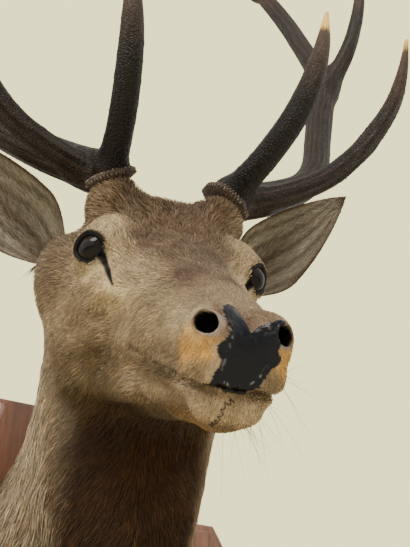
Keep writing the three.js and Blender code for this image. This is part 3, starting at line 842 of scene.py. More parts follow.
class Nodes:
    """Adds nodes to one tree."""

    def __init__(self, tree: bpy.types.NodeTree) -> None:
        """Takes the tree that the nodes go in."""
        self.tree = tree

    def feed(self, node: bpy.types.Node, inputs: dict) -> bpy.types.Node:
        """Gives a node its inputs.

        Args:
            node: The node.
            inputs: Sockets to link or values to set, by the input's name or number. Colours
                come without their alpha.

        Returns:
            The node.
        """
        for name, value in inputs.items():
            socket = node.inputs[name]
            if isinstance(value, bpy.types.NodeSocket):
                self.tree.links.new(value, socket)
            else:
                socket.default_value = (*value, 1.0) if socket.type == "RGBA" else value
        return node

    def add(self, kind: str, inputs: dict | None = None, **settings) -> bpy.types.Node:
        """Adds a node.

        Args:
            kind: The node's type.
            inputs: What feed takes.
            **settings: Properties of the node.

        Returns:
            The node.
        """
        node = self.tree.nodes.new(kind)
        for name, value in settings.items():
            setattr(node, name, value)
        return self.feed(node, inputs or {})

    def attribute(self, name: str, output: str = "Fac") -> bpy.types.NodeSocket:
        """Reads a vertex attribute."""
        return self.add("ShaderNodeAttribute", attribute_name=name).outputs[output]

    def place(self) -> bpy.types.NodeSocket:
        """Where a point lies on its piece."""
        return self.add("ShaderNodeTexCoord").outputs["Object"]

    def scaled(self, vector: bpy.types.NodeSocket, by: tuple[float, float, float]) -> bpy.types.NodeSocket:
        """A vector scaled along each axis."""
        return self.add("ShaderNodeMapping", {"Vector": vector, "Scale": by}).outputs[0]

    def noise(self, vector: bpy.types.NodeSocket, scale: float | bpy.types.NodeSocket,
              detail: float = 3.0, rough: float = 0.5) -> bpy.types.NodeSocket:
        """Noise over a vector, from 0 to 1."""
        return self.add("ShaderNodeTexNoise", {"Vector": vector, "Scale": scale, "Detail": detail,
                                               "Roughness": rough}).outputs["Fac"]

    def ramp(self, value: bpy.types.NodeSocket, stops: list[tuple[float, Colour]]) -> bpy.types.NodeSocket:
        """Colours by a value."""
        node = self.add("ShaderNodeValToRGB", {"Fac": value})
        elements = node.color_ramp.elements
        while len(elements) < len(stops):
            elements.new(1.0)
        for element, (place, colour) in zip(elements, stops):
            element.position = place
            element.color = (*colour, 1.0)
        return node.outputs["Color"]

    def remap(self, value: bpy.types.NodeSocket, old: tuple[float, float],
              new: tuple[float, float]) -> bpy.types.NodeSocket:
        """Moves a value from one range to another."""
        return self.add("ShaderNodeMapRange", {"Value": value, "From Min": old[0], "From Max": old[1],
                                               "To Min": new[0], "To Max": new[1]}).outputs["Result"]

    def math(self, operation: str, a: object, b: object) -> bpy.types.NodeSocket:
        """Arithmetic on two values."""
        return self.add("ShaderNodeMath", {0: a, 1: b}, operation=operation).outputs[0]

    def mix(self, share: object, a: object, b: object, way: str = "MIX") -> bpy.types.NodeSocket:
        """Mixes two colours."""
        return self.add("ShaderNodeMix", {0: share, 6: a, 7: b}, data_type="RGBA", blend_type=way,
                        clamp_result=False).outputs[2]

    def bump(self, height: bpy.types.NodeSocket, strength: float, distance: float) -> bpy.types.NodeSocket:
        """A normal from a height."""
        return self.add("ShaderNodeBump", {"Height": height, "Strength": strength,
                                           "Distance": distance}).outputs["Normal"]

    def mottled(self, colour: object, broad: float, fine: float, amount: float) -> bpy.types.Node:
        """Makes a colour uneven with the mottle group."""
        return self.add("ShaderNodeGroup", {"Color": colour, "Broad Scale": broad, "Fine Scale": fine,
                                            "Amount": amount}, node_tree=mottle_group())


def material(name: str) -> tuple[bpy.types.Material, Nodes, bpy.types.Node]:
    """Starts a material: returns it, its nodes and its shader."""
    made = bpy.data.materials.new(name)
    made.use_nodes = True
    tree = made.node_tree
    return made, Nodes(tree), tree.nodes["Principled BSDF"]


def mottle_group() -> bpy.types.NodeTree:
    """Group that makes a colour uneven: broad patches and fine specks of lighter and darker."""
    name = "mottle"
    if name in bpy.data.node_groups:
        return bpy.data.node_groups[name]
    tree = bpy.data.node_groups.new(name, "ShaderNodeTree")
    face = tree.interface
    face.new_socket("Color", in_out="INPUT", socket_type="NodeSocketColor")
    for label, value in (("Broad Scale", 14.0), ("Fine Scale", 300.0), ("Amount", 0.3)):
        face.new_socket(label, in_out="INPUT", socket_type="NodeSocketFloat").default_value = value
    face.new_socket("Color", in_out="OUTPUT", socket_type="NodeSocketColor")
    face.new_socket("Mask", in_out="OUTPUT", socket_type="NodeSocketFloat")
    nodes = Nodes(tree)
    given = nodes.add("NodeGroupInput").outputs
    place = nodes.place()
    broad = nodes.noise(place, given["Broad Scale"])
    fine = nodes.noise(place, given["Fine Scale"], 2.0)
    both = nodes.math("ADD", broad, fine)
    swing = nodes.math("MULTIPLY", nodes.math("SUBTRACT", both, 1.0), given["Amount"])
    level = nodes.math("ADD", nodes.math("MULTIPLY", swing, 2.0), 1.0)
    grey = nodes.add("ShaderNodeCombineColor", {0: level, 1: level, 2: level}).outputs[0]
    nodes.add("NodeGroupOutput", {"Color": nodes.mix(1.0, given["Color"], grey, "MULTIPLY"), "Mask": fine})
    return tree


@dataclass(frozen=True)
class CoatFinish:
    """Hair: the marking of each tuft, uneven, with a soft sheen."""

    name: str = "coat"
    roughness: float = 0.58
    sheen: float = 0.05

    def make(self) -> bpy.types.Material:
        """Makes the material."""
        made, nodes, shader = material(self.name)
        hair = nodes.mottled(nodes.attribute("Marking", "Color"), 26.0, 420.0, 0.30).outputs
        rough = (self.roughness - 0.1, self.roughness + 0.14)
        nodes.feed(shader, {
            "Base Color": hair["Color"],
            "Roughness": nodes.remap(hair["Mask"], (0.2, 0.8), rough),
            "Normal": nodes.bump(nodes.noise(nodes.place(), 900.0, 2.0), 0.25, 0.0005),
            "Specular IOR Level": 0.12, "Sheen Weight": self.sheen, "Sheen Roughness": 0.4})
        return made


@dataclass(frozen=True)
class SkinFinish:
    """Skin with flat hair on it, bare dark lids and a thick coat of black paint on the nose."""

    name: str = "skin"

    def make(self) -> bpy.types.Material:
        """Makes the material."""
        made, nodes, shader = material(self.name)
        colour = nodes.attribute("Marking", "Color")
        gloss = nodes.attribute("Gloss")
        streak = nodes.noise(nodes.attribute("Lie", "Vector"), 1.0, 3.0, 0.6)
        shade = nodes.ramp(streak, [(0.28, (0.62, 0.60, 0.58)), (0.52, (0.9, 0.9, 0.9)),
                                    (0.74, (1.2, 1.18, 1.13))])
        base = nodes.mix(gloss, nodes.mix(1.0, colour, shade, "MULTIPLY"), colour)
        dabs = nodes.math("MULTIPLY", nodes.noise(nodes.place(), 75.0, 4.0, 0.55), 4.0)
        film = nodes.math("MULTIPLY", nodes.remap(gloss, (0.55, 0.95), (0.0, 1.0)), 1.6)
        height = nodes.math("ADD", nodes.mix(gloss, streak, dabs), film)
        nodes.feed(shader, {
            "Base Color": nodes.mottled(base, 26.0, 420.0, 0.22).outputs["Color"],
            "Roughness": nodes.remap(gloss, (0.0, 1.0), (0.78, 0.17)),
            "Normal": nodes.bump(height, 0.7, 0.0012),
            "Coat Weight": nodes.remap(gloss, (0.4, 1.0), (0.0, 0.30)),
            "Coat Roughness": 0.05, "Specular IOR Level": 0.12})
        return made


@dataclass(frozen=True)
class GlassFinish:
    """A taxidermist's glass eye: near-black brown iris, level pupil, clear bulging front."""

    name: str = "eye_glass"
    pupil_half: tuple[float, float] = (0.44, 0.24)  # shares of the ball's radius

    def make(self) -> bpy.types.Material:
        """Makes the material."""
        made, nodes, shader = material(self.name)
        look = nodes.attribute("Gaze", "Vector")
        gaze = nodes.add("ShaderNodeSeparateXYZ", {0: look}).outputs
        across = nodes.math("DIVIDE", gaze["X"], self.pupil_half[0])
        up = nodes.math("DIVIDE", gaze["Y"], self.pupil_half[1])
        pupil = nodes.math("ADD", nodes.math("MULTIPLY", across, across), nodes.math("MULTIPLY", up, up))
        fibres = nodes.noise(look, 18.0, 4.0, 0.6)
        iris = nodes.ramp(fibres, [(0.3, (0.005, 0.003, 0.002)), (0.7, (0.014, 0.008, 0.004))])
        colour = nodes.mix(nodes.remap(pupil, (0.8, 1.25), (0.0, 1.0)), (0.0015, 0.0015, 0.002), iris)
        rim = nodes.remap(gaze["Z"], (0.80, 0.66), (0.0, 1.0))
        dust = nodes.noise(nodes.place(), 240.0, 4.0)
        nodes.feed(shader, {
            "Base Color": nodes.mix(rim, colour, (0.004, 0.004, 0.005)),
            "Roughness": nodes.remap(dust, (0.45, 0.8), (0.035, 0.16)),
            "IOR": 1.5, "Specular IOR Level": 0.06, "Coat Weight": 0.3, "Coat Roughness": 0.03})
        return made


@dataclass(frozen=True)
class LidFinish:
    """Black modelled rim of the lids, slightly shiny."""

    name: str = "lid_black"
    colour: Colour = (0.0050, 0.0045, 0.0045)

    def make(self) -> bpy.types.Material:
        """Makes the material."""
        made, nodes, shader = material(self.name)
        uneven = nodes.mottled(self.colour, 90.0, 700.0, 0.5).outputs
        nodes.feed(shader, {
            "Base Color": uneven["Color"],
            "Roughness": nodes.remap(uneven["Mask"], (0.3, 0.7), (0.38, 0.62)),
            "Normal": nodes.bump(uneven["Mask"], 0.5, 0.0005), "Specular IOR Level": 0.15})
        return made


@dataclass(frozen=True)
class AntlerFinish:
    """Hard antler: dark stained gutters, browner ridges, ivory on the rubbed tips."""

    name: str = "antler"
    gutter: Colour = (0.0020, 0.0012, 0.0008)
    body: Colour = (0.0085, 0.0048, 0.0030)
    ridge: Colour = (0.0600, 0.0350, 0.0205)
    brown: Colour = (0.0900, 0.0450, 0.0200)
    pearl: Colour = (0.0750, 0.0530, 0.0360)
    ivory: Colour = (0.950, 0.610, 0.130)

    def make(self) -> bpy.types.Material:
        """Makes the material."""
        made, nodes, shader = material(self.name)
        relief, tip, pearly = (nodes.attribute(name) for name in ("Relief", "Tip", "Pearls"))
        place = nodes.place()
        lines = nodes.noise(nodes.attribute("Grain", "Vector"), 1.0, 4.0, 0.65)
        beads = nodes.add("ShaderNodeTexVoronoi", {"Vector": place, "Scale": 460.0}).outputs["Distance"]
        raised = nodes.math("MULTIPLY", nodes.remap(beads, (0.18, 0.55), (1.0, 0.0)), pearly)
        level = nodes.math("ADD", nodes.math("MULTIPLY", relief, 0.30), nodes.math("MULTIPLY", lines, 0.8))
        colour = nodes.ramp(level, [(0.25, self.gutter), (0.52, self.body), (0.86, self.ridge)])
        uneven = nodes.math("MULTIPLY", nodes.math("SUBTRACT", lines, 0.5), 0.5)
        toward = nodes.remap(nodes.math("ADD", tip, uneven), (0.10, 0.85), (0.0, 0.75))
        patchy = nodes.mottled(nodes.mix(toward, colour, self.brown), 20.0, 260.0, 0.5).outputs["Color"]
        beaded = nodes.mix(nodes.math("MULTIPLY", raised, 0.42), patchy, self.pearl)
        end = nodes.math("ADD", tip, nodes.math("MULTIPLY", uneven, 0.5))
        nodes.feed(shader, {
            "Base Color": nodes.mix(nodes.remap(end, (0.77, 0.86), (0.0, 1.0)), beaded, self.ivory),
            "Roughness": nodes.remap(nodes.noise(place, 120.0), (0.3, 0.7), (0.30, 0.50)),
            "Normal": nodes.bump(nodes.math("ADD", lines, raised), 0.9, 0.0014),
            "Specular IOR Level": 0.28})
        return made


@dataclass(frozen=True)
class MahoganyFinish:
    """Polished mahogany: upright grain with darker pores."""

    name: str = "mahogany"
    dark: Colour = (0.080, 0.031, 0.017)
    middle: Colour = (0.180, 0.074, 0.038)
    light: Colour = (0.300, 0.130, 0.068)

    def make(self) -> bpy.types.Material:
        """Makes the material."""
        made, nodes, shader = material(self.name)
        place = nodes.place()
        grain = nodes.noise(nodes.scaled(place, (70.0, 30.0, 4.0)), 1.0, 6.0, 0.62)
        figure = nodes.noise(nodes.scaled(place, (9.0, 9.0, 1.3)), 1.0)
        pores = nodes.noise(nodes.scaled(place, (900.0, 400.0, 28.0)), 1.0, 2.0)
        level = nodes.math("ADD", nodes.math("MULTIPLY", grain, 0.7), nodes.math("MULTIPLY", figure, 0.3))
        colour = nodes.ramp(level, [(0.3, self.dark), (0.5, self.middle), (0.72, self.light)])
        pitted = nodes.mix(nodes.remap(pores, (0.34, 0.42), (0.6, 0.0)), colour, self.dark)
        nodes.feed(shader, {
            "Base Color": nodes.mottled(pitted, 6.0, 90.0, 0.16).outputs["Color"],
            "Roughness": nodes.remap(grain, (0.3, 0.7), (0.42, 0.27)),
            "Normal": nodes.bump(pores, 0.25, 0.0006), "Coat Weight": 0.35, "Coat Roughness": 0.18})
        return made


@dataclass(frozen=True)
class PlainFinish:
    """A mottled dry finish for thread and whiskers."""

    name: str
    colour: Colour
    roughness: float
    broad: float
    fine: float
    amount: float

    def make(self) -> bpy.types.Material:
        """Makes the material."""
        made, nodes, shader = material(self.name)
        uneven = nodes.mottled(self.colour, self.broad, self.fine, self.amount).outputs
        rough = (self.roughness - 0.06, self.roughness + 0.06)
        nodes.feed(shader, {"Base Color": uneven["Color"],
                            "Roughness": nodes.remap(uneven["Mask"], (0.3, 0.7), rough)})
        return made


@dataclass(frozen=True)
class FloorFinish:
    """A pale floor that the eye sees melt into the surround, far from the mount."""

    surround: Colour
    colour: Colour = (0.84, 0.79, 0.62)
    near: float = 1.2
    far: float = 7.0

    def make(self) -> bpy.types.Material:
        """Makes the material."""
        made, nodes, shader = material("floor_pale")
        flat = nodes.scaled(nodes.place(), (1.0, 1.0, 0.0))
        away = nodes.add("ShaderNodeVectorMath", {0: flat}, operation="LENGTH").outputs["Value"]
        fade = nodes.remap(away, (self.near, self.far), (0.0, 1.0))
        seen = nodes.math("MULTIPLY", fade, nodes.add("ShaderNodeLightPath").outputs["Is Camera Ray"])
        uneven = nodes.mottled(self.colour, 3.0, 60.0, 0.06).outputs["Color"]
        nodes.feed(shader, {
            "Base Color": nodes.mix(seen, uneven, (0.0, 0.0, 0.0)),
            "Emission Strength": seen, "Emission Color": self.surround,
            "Roughness": 0.85, "Specular IOR Level": 0.0})
        return made


# ---- Head, neck and ears -------------------------------------------------------------------


@dataclass(frozen=True)
class Roots:
    """Places where hair grows, in millimetres, in the mount frame before the head's turn."""

    point: Array
    normal: Array
    uv: Array
    ear: Array  # 1 on an ear, 0 on head and neck

    def some(self, chosen: Array) -> "Roots":
        """Some of the roots, by a mask or by numbers."""
        return Roots(self.point[chosen], self.normal[chosen], self.uv[chosen], self.ear[chosen])


@dataclass
class Ear:
    """An ear: a pointed leaf, rolled at its root and cupped along its length."""

    side: int
    length: float = 183.0
    half: float = 40.0
    thick: float = 3.2
    cup: float = 26.0
    drop: float = 0.18  # how much lower the right ear hangs, as a share of its spread
    hair: float = 1.1
    buried: float = 6.0  # how far its root goes into the head
    swing: float = 70.0  # how far out the right ear starts to hang lower
    along: tuple[float, float, float] = (0.68, -0.2, 0.71)
    face: tuple[float, float, float] = (0.3, -0.95, -0.1)
    around: int = 72
    rows: int = 66

    def __post_init__(self) -> None:
        """Works out the ear's axes."""
        self.root = ANATOMY.from_skull(np.array(ANATOMY.ear_root))
        self.up = unit(np.array(self.along))
        face = np.array(self.face)
        self.front = unit(face - self.up * (face @ self.up))
        self.across = np.cross(self.up, self.front)

    def width(self, t: Array) -> Array:
        """Half the leaf's width at a share of its length."""
        leaf = np.sin(math.pi * np.clip(t, 0, 1) ** 0.62) ** 0.72
        return self.half * np.nan_to_num(leaf) * (0.62 + 0.38 * smooth(t, 0, 0.4))

    def middle(self, t: Array, across: Array) -> Array:
        """How far the leaf's middle surface stands to the front."""
        hollow = np.sqrt(np.clip(np.sin(math.pi * np.minimum(t + 0.12, 1)), 0, 1))
        cup = self.cup * np.clip(1 - t, 0, 1) ** 0.7 * hollow
        return cup * (across * across - 1) - 10 * np.sin(math.pi * np.clip(t, 0, 1))

    def mirrored(self, points: Array) -> Array:
        """Brings points of the left ear to this ear's side, or back."""
        if self.side > 0:
            return points
        x, y, z = np.moveaxis(points, -1, 0)
        return np.stack([-x, y, z - self.drop * (x - self.swing)], -1)

    def unmirrored(self, points: Array) -> Array:
        """Brings points of this ear to the left ear's place."""
        if self.side > 0:
            return points
        x, y, z = np.moveaxis(points, -1, 0)
        return np.stack([-x, y, z + self.drop * (-x - self.swing)], -1)

    def local(self, points: Array, normals: Array) -> Array:
        """Across, up and inside for points of this ear.

        Args:
            points: Places before the head's turn.
            normals: The way that the surface looks there.

        Returns:
            Across from -1 to 1, up from 0 to 1 and 1 where the surface looks into the hollow.
        """
        away = self.unmirrored(points) - self.root
        t = (away @ self.up + self.buried) / self.length
        across = (away @ self.across) / np.maximum(self.width(t), 4.0)
        looks = normals * np.array([self.side, 1, 1])
        inside = smooth(looks @ self.front, -0.25, 0.25)
        return np.stack([np.clip(across, -1.2, 1.2), np.clip(t, 0, 1), inside], -1)

    def build(self) -> bpy.types.Object:
        """Builds the ear's skin, in millimetres, before the head's turn."""
        bm, angle, share = net(self.around, self.rows)
        low = (0.01, 0.01) if self.side > 0 else (0.52, 0.01)
        unwrap(bm, angle, share, low, (low[0] + 0.47, 0.19))
        t = 1 - share
        pole = np.isin(share, (0, 1))
        across = np.where(pole, 1.0, np.cos(angle))
        lift = np.where(pole, 0.0, np.sin(angle))
        wall = (self.thick * (0.6 + 1.6 * (1 - t) ** 2) - self.hair) * lift
        ribbed = smooth(t, 0.1, 0.3) * (1 - smooth(t, 0.6, 0.9))
        ribs = 0.7 * np.sin(across * 15) * np.maximum(lift, 0) * ribbed
        half = np.maximum(self.width(t) - self.hair, 0.3)
        wavy = 1.4 * np.sin(9 * t + 2) * smooth(np.abs(across), 0.6, 1)
        height = self.length * t - self.buried
        points = (self.root + np.outer(half * across, self.across)
                  + np.outer(self.middle(t, across) + wall + ribs + wavy, self.front)
                  + np.outer(height, self.up))
        return finished(bm, "ear_skin", self.mirrored(points))


@dataclass
class Skin:
    """The skin of head, neck and ears in one closed surface, inside the coat's tips."""

    around: int = 220
    rows: int = 380
    nose_rows: int = 58
    face_length: float = 0.54  # share of the core that lies in the head
    face_rows: float = 0.68  # share of the rows that it takes
    square: float = 0.62  # share of the core over which its sections swing off the board
    start: float = 22.3  # the nearest that the core comes to the wall
    gland: tuple[float, float, float] = (65.0, -46.0, -14.0)  # middle of a tear gland
    nostril: tuple[float, float, float] = (27.0, -245.0, -60.0)
    nose: tuple[float, float, float] = (0.0, -244.0, -72.0)
    lid_reach: float = 25.0  # squares are halved within this of eyes and tear glands
    nostril_reach: float = 12.0  # and within this of nostrils, where they are still coarse
    coarse: float = 0.9
    settled_by_eye: float = 48.0  # corners are brought onto the surface within these reaches
    settled_by_nose: float = 62.0
    behind_eye: float = 13.0  # how near the eye's centre the opening's skin is drawn
    opening: tuple[float, float] = (0.92, 1.07)  # shares of the lids' edge, skin drawn in to left as it is
    roll: tuple[float, float, float] = (1.16, 0.12, 0.5)  # the lids' swelling: share, width and height

    def rays(self, angle: Array, share: Array) -> tuple[Array, Array]:
        """Where the rays that find the surface start, and the way that they go."""
        core = catmull_rom(np.array([(0.0, -out, up) for out, up in ANATOMY.core]), 320)[::-1]
        row = share * self.rows
        nose = row / self.nose_rows
        run = np.clip((row - self.nose_rows) / (self.rows - 1 - self.nose_rows), 0, 1)
        at = np.interp(run, [0, self.face_rows, 1], [0, self.face_length, 1])
        start = along_length(core, at)
        tangent = unit(along_length(core, at - 0.004) - along_length(core, at + 0.004))
        start[:, 1] = np.minimum(start[:, 1], -self.start)
        swing = smooth(1 - at, 0, self.square)[:, None]
        forward = unit(np.array([0.0, -1.0, 0.0]) * (1 - swing) + tangent * swing)
        upward = np.stack([np.zeros(len(at)), forward[:, 2], -forward[:, 1]], -1)
        tilt = math.pi / 2 * np.clip(1 - nose, 0, 1)[:, None]
        aim = np.array([1.0, 0.0, 0.0]) * np.cos(angle)[:, None] + upward * np.sin(angle)[:, None]
        return start, aim * np.cos(tilt) + forward * np.sin(tilt)

    def reach(self, start: Array, aim: Array) -> Array:
        """How far the skin lies along each ray."""
        far = np.zeros(len(start))
        active = np.arange(len(start))
        for _ in range(60):
            gap = sculpted(start[active] + aim[active] * far[active, None])
            far[active] += np.clip(-gap, -1.0, 12.0) * 0.9
            active = active[np.abs(gap) > 0.02]
            if len(active) == 0:
                break
        return far

    def lids(self, points: Array) -> Array:
        """Opens the lids: skin over the eye is drawn in behind the ball."""
        skull = ANATOMY.to_skull(points)
        side = np.sign(skull[:, :1])
        mirror = skull * np.concatenate([side, np.ones((len(skull), 2))], axis=1)
        away = mirror - EYE
        reach = np.linalg.norm(away, axis=1)
        edge = EYELID.edge(away)
        ahead = EYELID.ahead(away, 32)
        inside = (1 - smooth(edge, *self.opening)) * ahead
        share, width, height = self.roll
        roll = np.exp(-((edge - share) / width) ** 2) * ahead
        drawn = reach * (1 - inside) + self.behind_eye * inside + height * roll
        moved = EYE + away / np.maximum(reach, 1e-6)[:, None] * drawn[:, None]
        moved *= np.concatenate([side, np.ones((len(skull), 2))], axis=1)
        near = reach < 34
        return np.where(near[:, None], ANATOMY.from_skull(moved), points)

    def hollows(self, points: Array, normals: Array) -> Array:
        """Sinks the nostrils, the tear glands' slits and the mouth's slit."""
        skull = ANATOMY.to_skull(points)
        side = np.sign(skull[:, 0])
        x, y, z = to_left(skull)
        f = FEATURES
        aim = unit(np.array(f.nostril_aim))
        wide, _ = f.nostril(x, y, z)
        lip = 0.8 * np.exp(-((wide - 1.12) / 0.09) ** 2)
        deep = (f.nostril_deep * (1 - smooth(wide, 0.62, 1.03)) - lip) * smooth(-y, 233, 239)
        into = np.stack([aim[0] * side, np.full(len(x), aim[1]), np.full(len(x), aim[2])], -1)
        facing = -np.sum((ANATOMY.to_skull(points + normals) - skull) * into, axis=1)
        sunk = skull + into * (deep * smooth(facing, 0.10, 0.45))[:, None]
        slit = 1 - smooth(f.gland.distance(x, y, z), -2.6, 0.4)
        taper = smooth(-y, 16, 26) * (1 - 0.55 * smooth(-y, 34, 66))
        mouth = 1 - smooth(f.mouth.distance(x, y, z), -1.2, 1.2)
        film = 0.6 + 0.35 * value_noise(skull, 9.0, 61) + 0.22 * value_noise(skull, 3.6, 62)
        for run in f.paint_runs:
            film = film + 1.15 * np.exp(-(run.distance(skull[:, 0], 0 * y, z) / 1.15) ** 2)
        film = film * pad_mask(skull)
        press = 1.2 * slit * taper + 4.0 * mouth - film
        return ANATOMY.from_skull(sunk) - normals * press[:, None]

    def build(self) -> tuple[bpy.types.Object, Roots]:
        """Builds the skin and reads where hair may grow on it.

        Returns:
            The skin, and its triangles' corners as roots.
        """
        bm, angle, share = net(self.around, self.rows)
        unwrap(bm, angle, share, (0.005, 0.21), (0.995, 0.995))
        start, aim = self.rays(angle, share)
        points = start + aim * self.reach(start, aim)[:, None]
        points[share == 1] = start[share == 1]
        move(bm, points)
        front = EYE + 16 * EYELID.axes()[2]
        near = [edge for edge in bm.edges
                if self.gap(edge, front, self.gland) < self.lid_reach
                or (edge.calc_length() > self.coarse and self.gap(edge, self.nostril) < self.nostril_reach)]
        bmesh.ops.subdivide_edges(bm, edges=near, cuts=1, use_grid_fill=True)
        head = finished(bm, "skin")
        points = read(head.data, "vertices")
        skull = ANATOMY.to_skull(points)
        from_eye = np.linalg.norm(np.stack(to_left(skull), -1) - EYE, axis=1)
        from_nose = np.linalg.norm(skull - np.array(self.nose), axis=1)
        close = (from_eye < self.settled_by_eye) | (from_nose < self.settled_by_nose)
        points[close] = self.settled(points[close])
        normals = read(head.data, "vertex_normals", "vector")
        points = self.lids(self.hollows(points, normals))
        put(head.data, points)
        self.join_ears(head)
        roots = self.dress(head)
        return head, roots

    @staticmethod
    def gap(edge: bmesh.types.BMEdge, *places: tuple[float, float, float]) -> float:
        """Distance of an edge's first corner from the nearest of some places on both sides."""
        both = (ANATOMY.from_skull(np.array(place) * [side, 1, 1]) for place in places for side in (1, -1))
        return min((edge.verts[0].co - Vector(place)).length for place in both)

    @staticmethod
    def settled(points: Array) -> Array:
        """Moves points straight onto the skin's surface."""
        for _ in range(3):
            gap = sculpted(points)
            slope = np.stack([sculpted(points + step) - gap for step in np.eye(3) * 0.4], -1)
            points = points - unit(slope) * gap[:, None] * 0.9
        return points

    @staticmethod
    def join_ears(head: bpy.types.Object) -> None:
        """Grows both ears from the head's skin, with no seam."""
        for side in (1, -1):
            ear = Ear(side).build()
            union = head.modifiers.new("ear", "BOOLEAN")
            union.operation = "UNION"
            union.solver = "MANIFOLD"
            union.object = ear
            view = bpy.context.evaluated_depsgraph_get()
            joined = bpy.data.meshes.new_from_object(head.evaluated_get(view))
            head.modifiers.clear()
            if len(joined.polygons) > len(head.data.polygons) / 2:
                head.data = joined
            bpy.data.objects.remove(ear)
        head.data.shade_smooth()

    @staticmethod
    def dress(head: bpy.types.Object) -> Roots:
        """Paints the skin's markings, then brings it to its place in metres.

        Args:
            head: The skin in millimetres, before the head's turn.

        Returns:
            A root at each corner of each triangle.
        """
        mesh = head.data
        points = read(mesh, "vertices")
        normals = read(mesh, "vertex_normals", "vector")
        skull = ANATOMY.to_skull(points)
        colour, gloss = bare_skin(skull, markings(skull))
        near_ear = skull[:, 1] > 60
        off = np.zeros(len(points))
        off[near_ear] = smooth(sculpted(points[near_ear]), 0.4, 5.0)
        for side in (1, -1):
            own = near_ear & (points[:, 0] * side > 0)
            local = Ear(side).local(points[own], normals[own])
            mask = off[own][:, None]
            colour[own] = colour[own] * (1 - mask) + ear_markings(local) * mask
        # painted shade: the skin's colours, bare places too, are darkened by 0.85 under the coat
        paint(mesh, "Marking", with_alpha(colour * 0.85))
        paint(mesh, "Gloss", gloss * (1 - off))
        around = np.arctan2(points[:, 2] - 150, points[:, 0])
        lie = np.stack([np.cos(around) * 70, np.sin(around) * 70, skull[:, 1] / 7], -1)
        paint(mesh, "Lie", lie)
        mesh.calc_loop_triangles()
        corners, loops = (read(mesh, "loop_triangles", item).astype(int) for item in ("vertices", "loops"))
        uv = read(mesh.uv_layers["OFBake"], "data", "uv", 2)[loops]
        roots = Roots(points[corners], normals[corners], uv, off[corners])
        put(mesh, ANATOMY.turned(points) * MM)
        return roots


# ---- Coat ----------------------------------------------------------------------------------


@dataclass(frozen=True)
class Growth:
    """A size of the tufts: on the face, what some parts of it add, and on neck and throat."""

    face: float
    muzzle: float
    crown: float
    jaw: float
    neck: float
    throat: float = 0.0

    def at(self, mask: dict[str, Array]) -> Array:
        """The size at places, by the masks of the coat's parts there."""
        size = self.face + self.muzzle * mask["muzzle"] + self.crown * mask["crown"] + self.jaw * mask["jaw"]
        return size * (1 - mask["neck"]) + (self.neck + self.throat * mask["throat"]) * mask["neck"]


